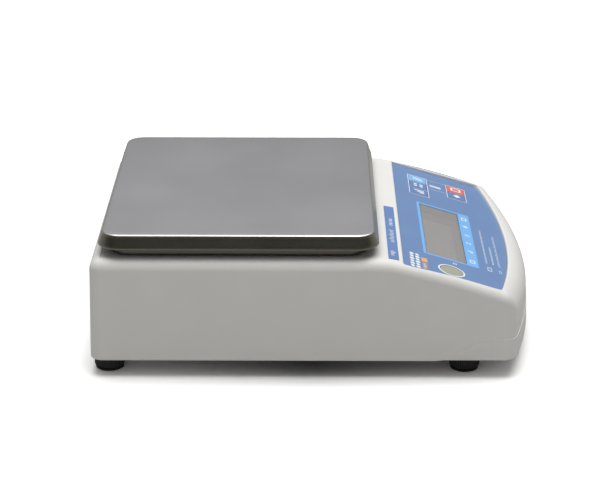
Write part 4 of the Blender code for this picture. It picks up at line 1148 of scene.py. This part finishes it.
def build_floor():
    bm = bmesh.new()
    half = 6.0
    corners = [bm.verts.new((x * half, y * half, 0.0)) for x, y in ((-1, -1), (1, -1), (1, 1), (-1, 1))]
    bm.faces.new(corners)
    floor = mesh_object("floor", bm)
    material = bpy.data.materials.new("floor_pale_painted_shadow")
    material.use_nodes = True
    n = Nodes(material.node_tree)
    tree = material.node_tree
    tree.nodes.remove(tree.nodes["Principled BSDF"])
    # Painted shadow: the floor's colour is darkened by ambient occlusion under and beside the object, and the
    # darkening fades out towards both ends along y.
    near = n.add("ShaderNodeAmbientOcclusion", Distance=0.022)
    shade = n.math("POWER", near.outputs["AO"], 0.9)
    spot = n.add("ShaderNodeSeparateXYZ")
    n.join(n.add("ShaderNodeNewGeometry").outputs["Position"], spot.inputs[0])
    ends = n.spread(n.math("ABSOLUTE", spot.outputs["Y"]), 0.0, 0.80, 0.005, 0.085)
    shade = n.math("ADD", shade, n.math("MULTIPLY", ends, n.math("SUBTRACT", 1.0, shade)))
    shader = n.add("ShaderNodeBsdfDiffuse")
    n.join(n.blend(shade, (0.0, 0.0, 0.0), (1.40, 1.40, 1.39)), shader.inputs["Color"])
    dim = n.add("ShaderNodeBsdfDiffuse", Color=(0.50, 0.50, 0.49, 1.0))
    n.by_view(dim, shader, "Material Output")
    floor.data.materials.append(material)


def build_world():
    """Soft studio surround: bright overhead, mid grey beyond the object, dark behind the camera."""
    world = bpy.data.worlds.new("studio")
    world.use_nodes = True
    SCENE.world = world
    n = Nodes(world.node_tree)
    tree = world.node_tree
    direction = n.add("ShaderNodeTexCoord").outputs["Generated"]
    parts = n.add("ShaderNodeSeparateXYZ")
    n.join(direction, parts.inputs[0])
    height = parts.outputs["Z"]
    far = n.spread(height, 0.25, 0.52, 0.15, 0.95)
    near = n.spread(height, 0.0, 0.48, 0.45, 0.95)
    side = n.spread(parts.outputs["X"], 0.0, 1.0, -0.35, 0.35)
    near = n.math("MULTIPLY", near, n.math("SUBTRACT", 1.0, side))
    level = n.math("ADD", n.math("MULTIPLY", far, side), near)
    surround = tree.nodes["Background"]
    n.join(level, surround.inputs["Strength"])
    surround.inputs["Color"].default_value = (1.0, 1.0, 1.0, 1.0)
    white = n.add("ShaderNodeBackground", Strength=1.0)
    n.by_view(surround, white, "World Output")


def add_area(name, location, target, size, power, tint=(1.0, 1.0, 1.0)):
    light = bpy.data.lights.new(name, "AREA")
    light.shape = "RECTANGLE"
    light.size, light.size_y = size
    light.energy = power
    light.color = tint
    obj = bpy.data.objects.new(name, light)
    SCENE.collection.objects.link(obj)
    obj.location = location
    obj.rotation_euler = (Vector(target) - Vector(location)).to_track_quat("-Z", "Y").to_euler()
    return obj


def build_lights():
    add_area("overhead", (0.10, -0.05, 1.30), (0, 0, 0.05), (1.25, 1.25), 16.2)
    fill = add_area("side_fill", (-1.30, 0.0, 0.80), (0, 0, 0.05), (1.0, 1.4), 3.3, (1.0, 0.975, 0.985))
    fill.visible_glossy = False


def build_camera():
    """Level with the side at a little above twenty degrees, on the operator's left."""
    camera = bpy.data.cameras.new("camera")
    obj = bpy.data.objects.new("camera", camera)
    SCENE.collection.objects.link(obj)
    pitch, yaw = math.radians(20.659), -0.007
    forward = Vector((math.cos(pitch) * math.cos(yaw), -math.cos(pitch) * math.sin(yaw), -math.sin(pitch)))
    obj.location = (-0.99201, 0.00056, 0.41365)
    obj.rotation_euler = forward.to_track_quat("-Z", "Y").to_euler()
    camera.sensor_width = 36
    camera.lens = 117.18
    camera.clip_end = 50
    SCENE.camera = obj
    SCENE.view_settings.view_transform = "Standard"


repaint_kept_nodes()
build_cover()
build_tray()
build_overlay()
build_windows()
build_keys()
build_prints()
build_display()
build_label()
build_pan()
build_support()
build_feet()
build_door()
build_sockets()
build_floor()
build_world()
build_lights()
build_camera()
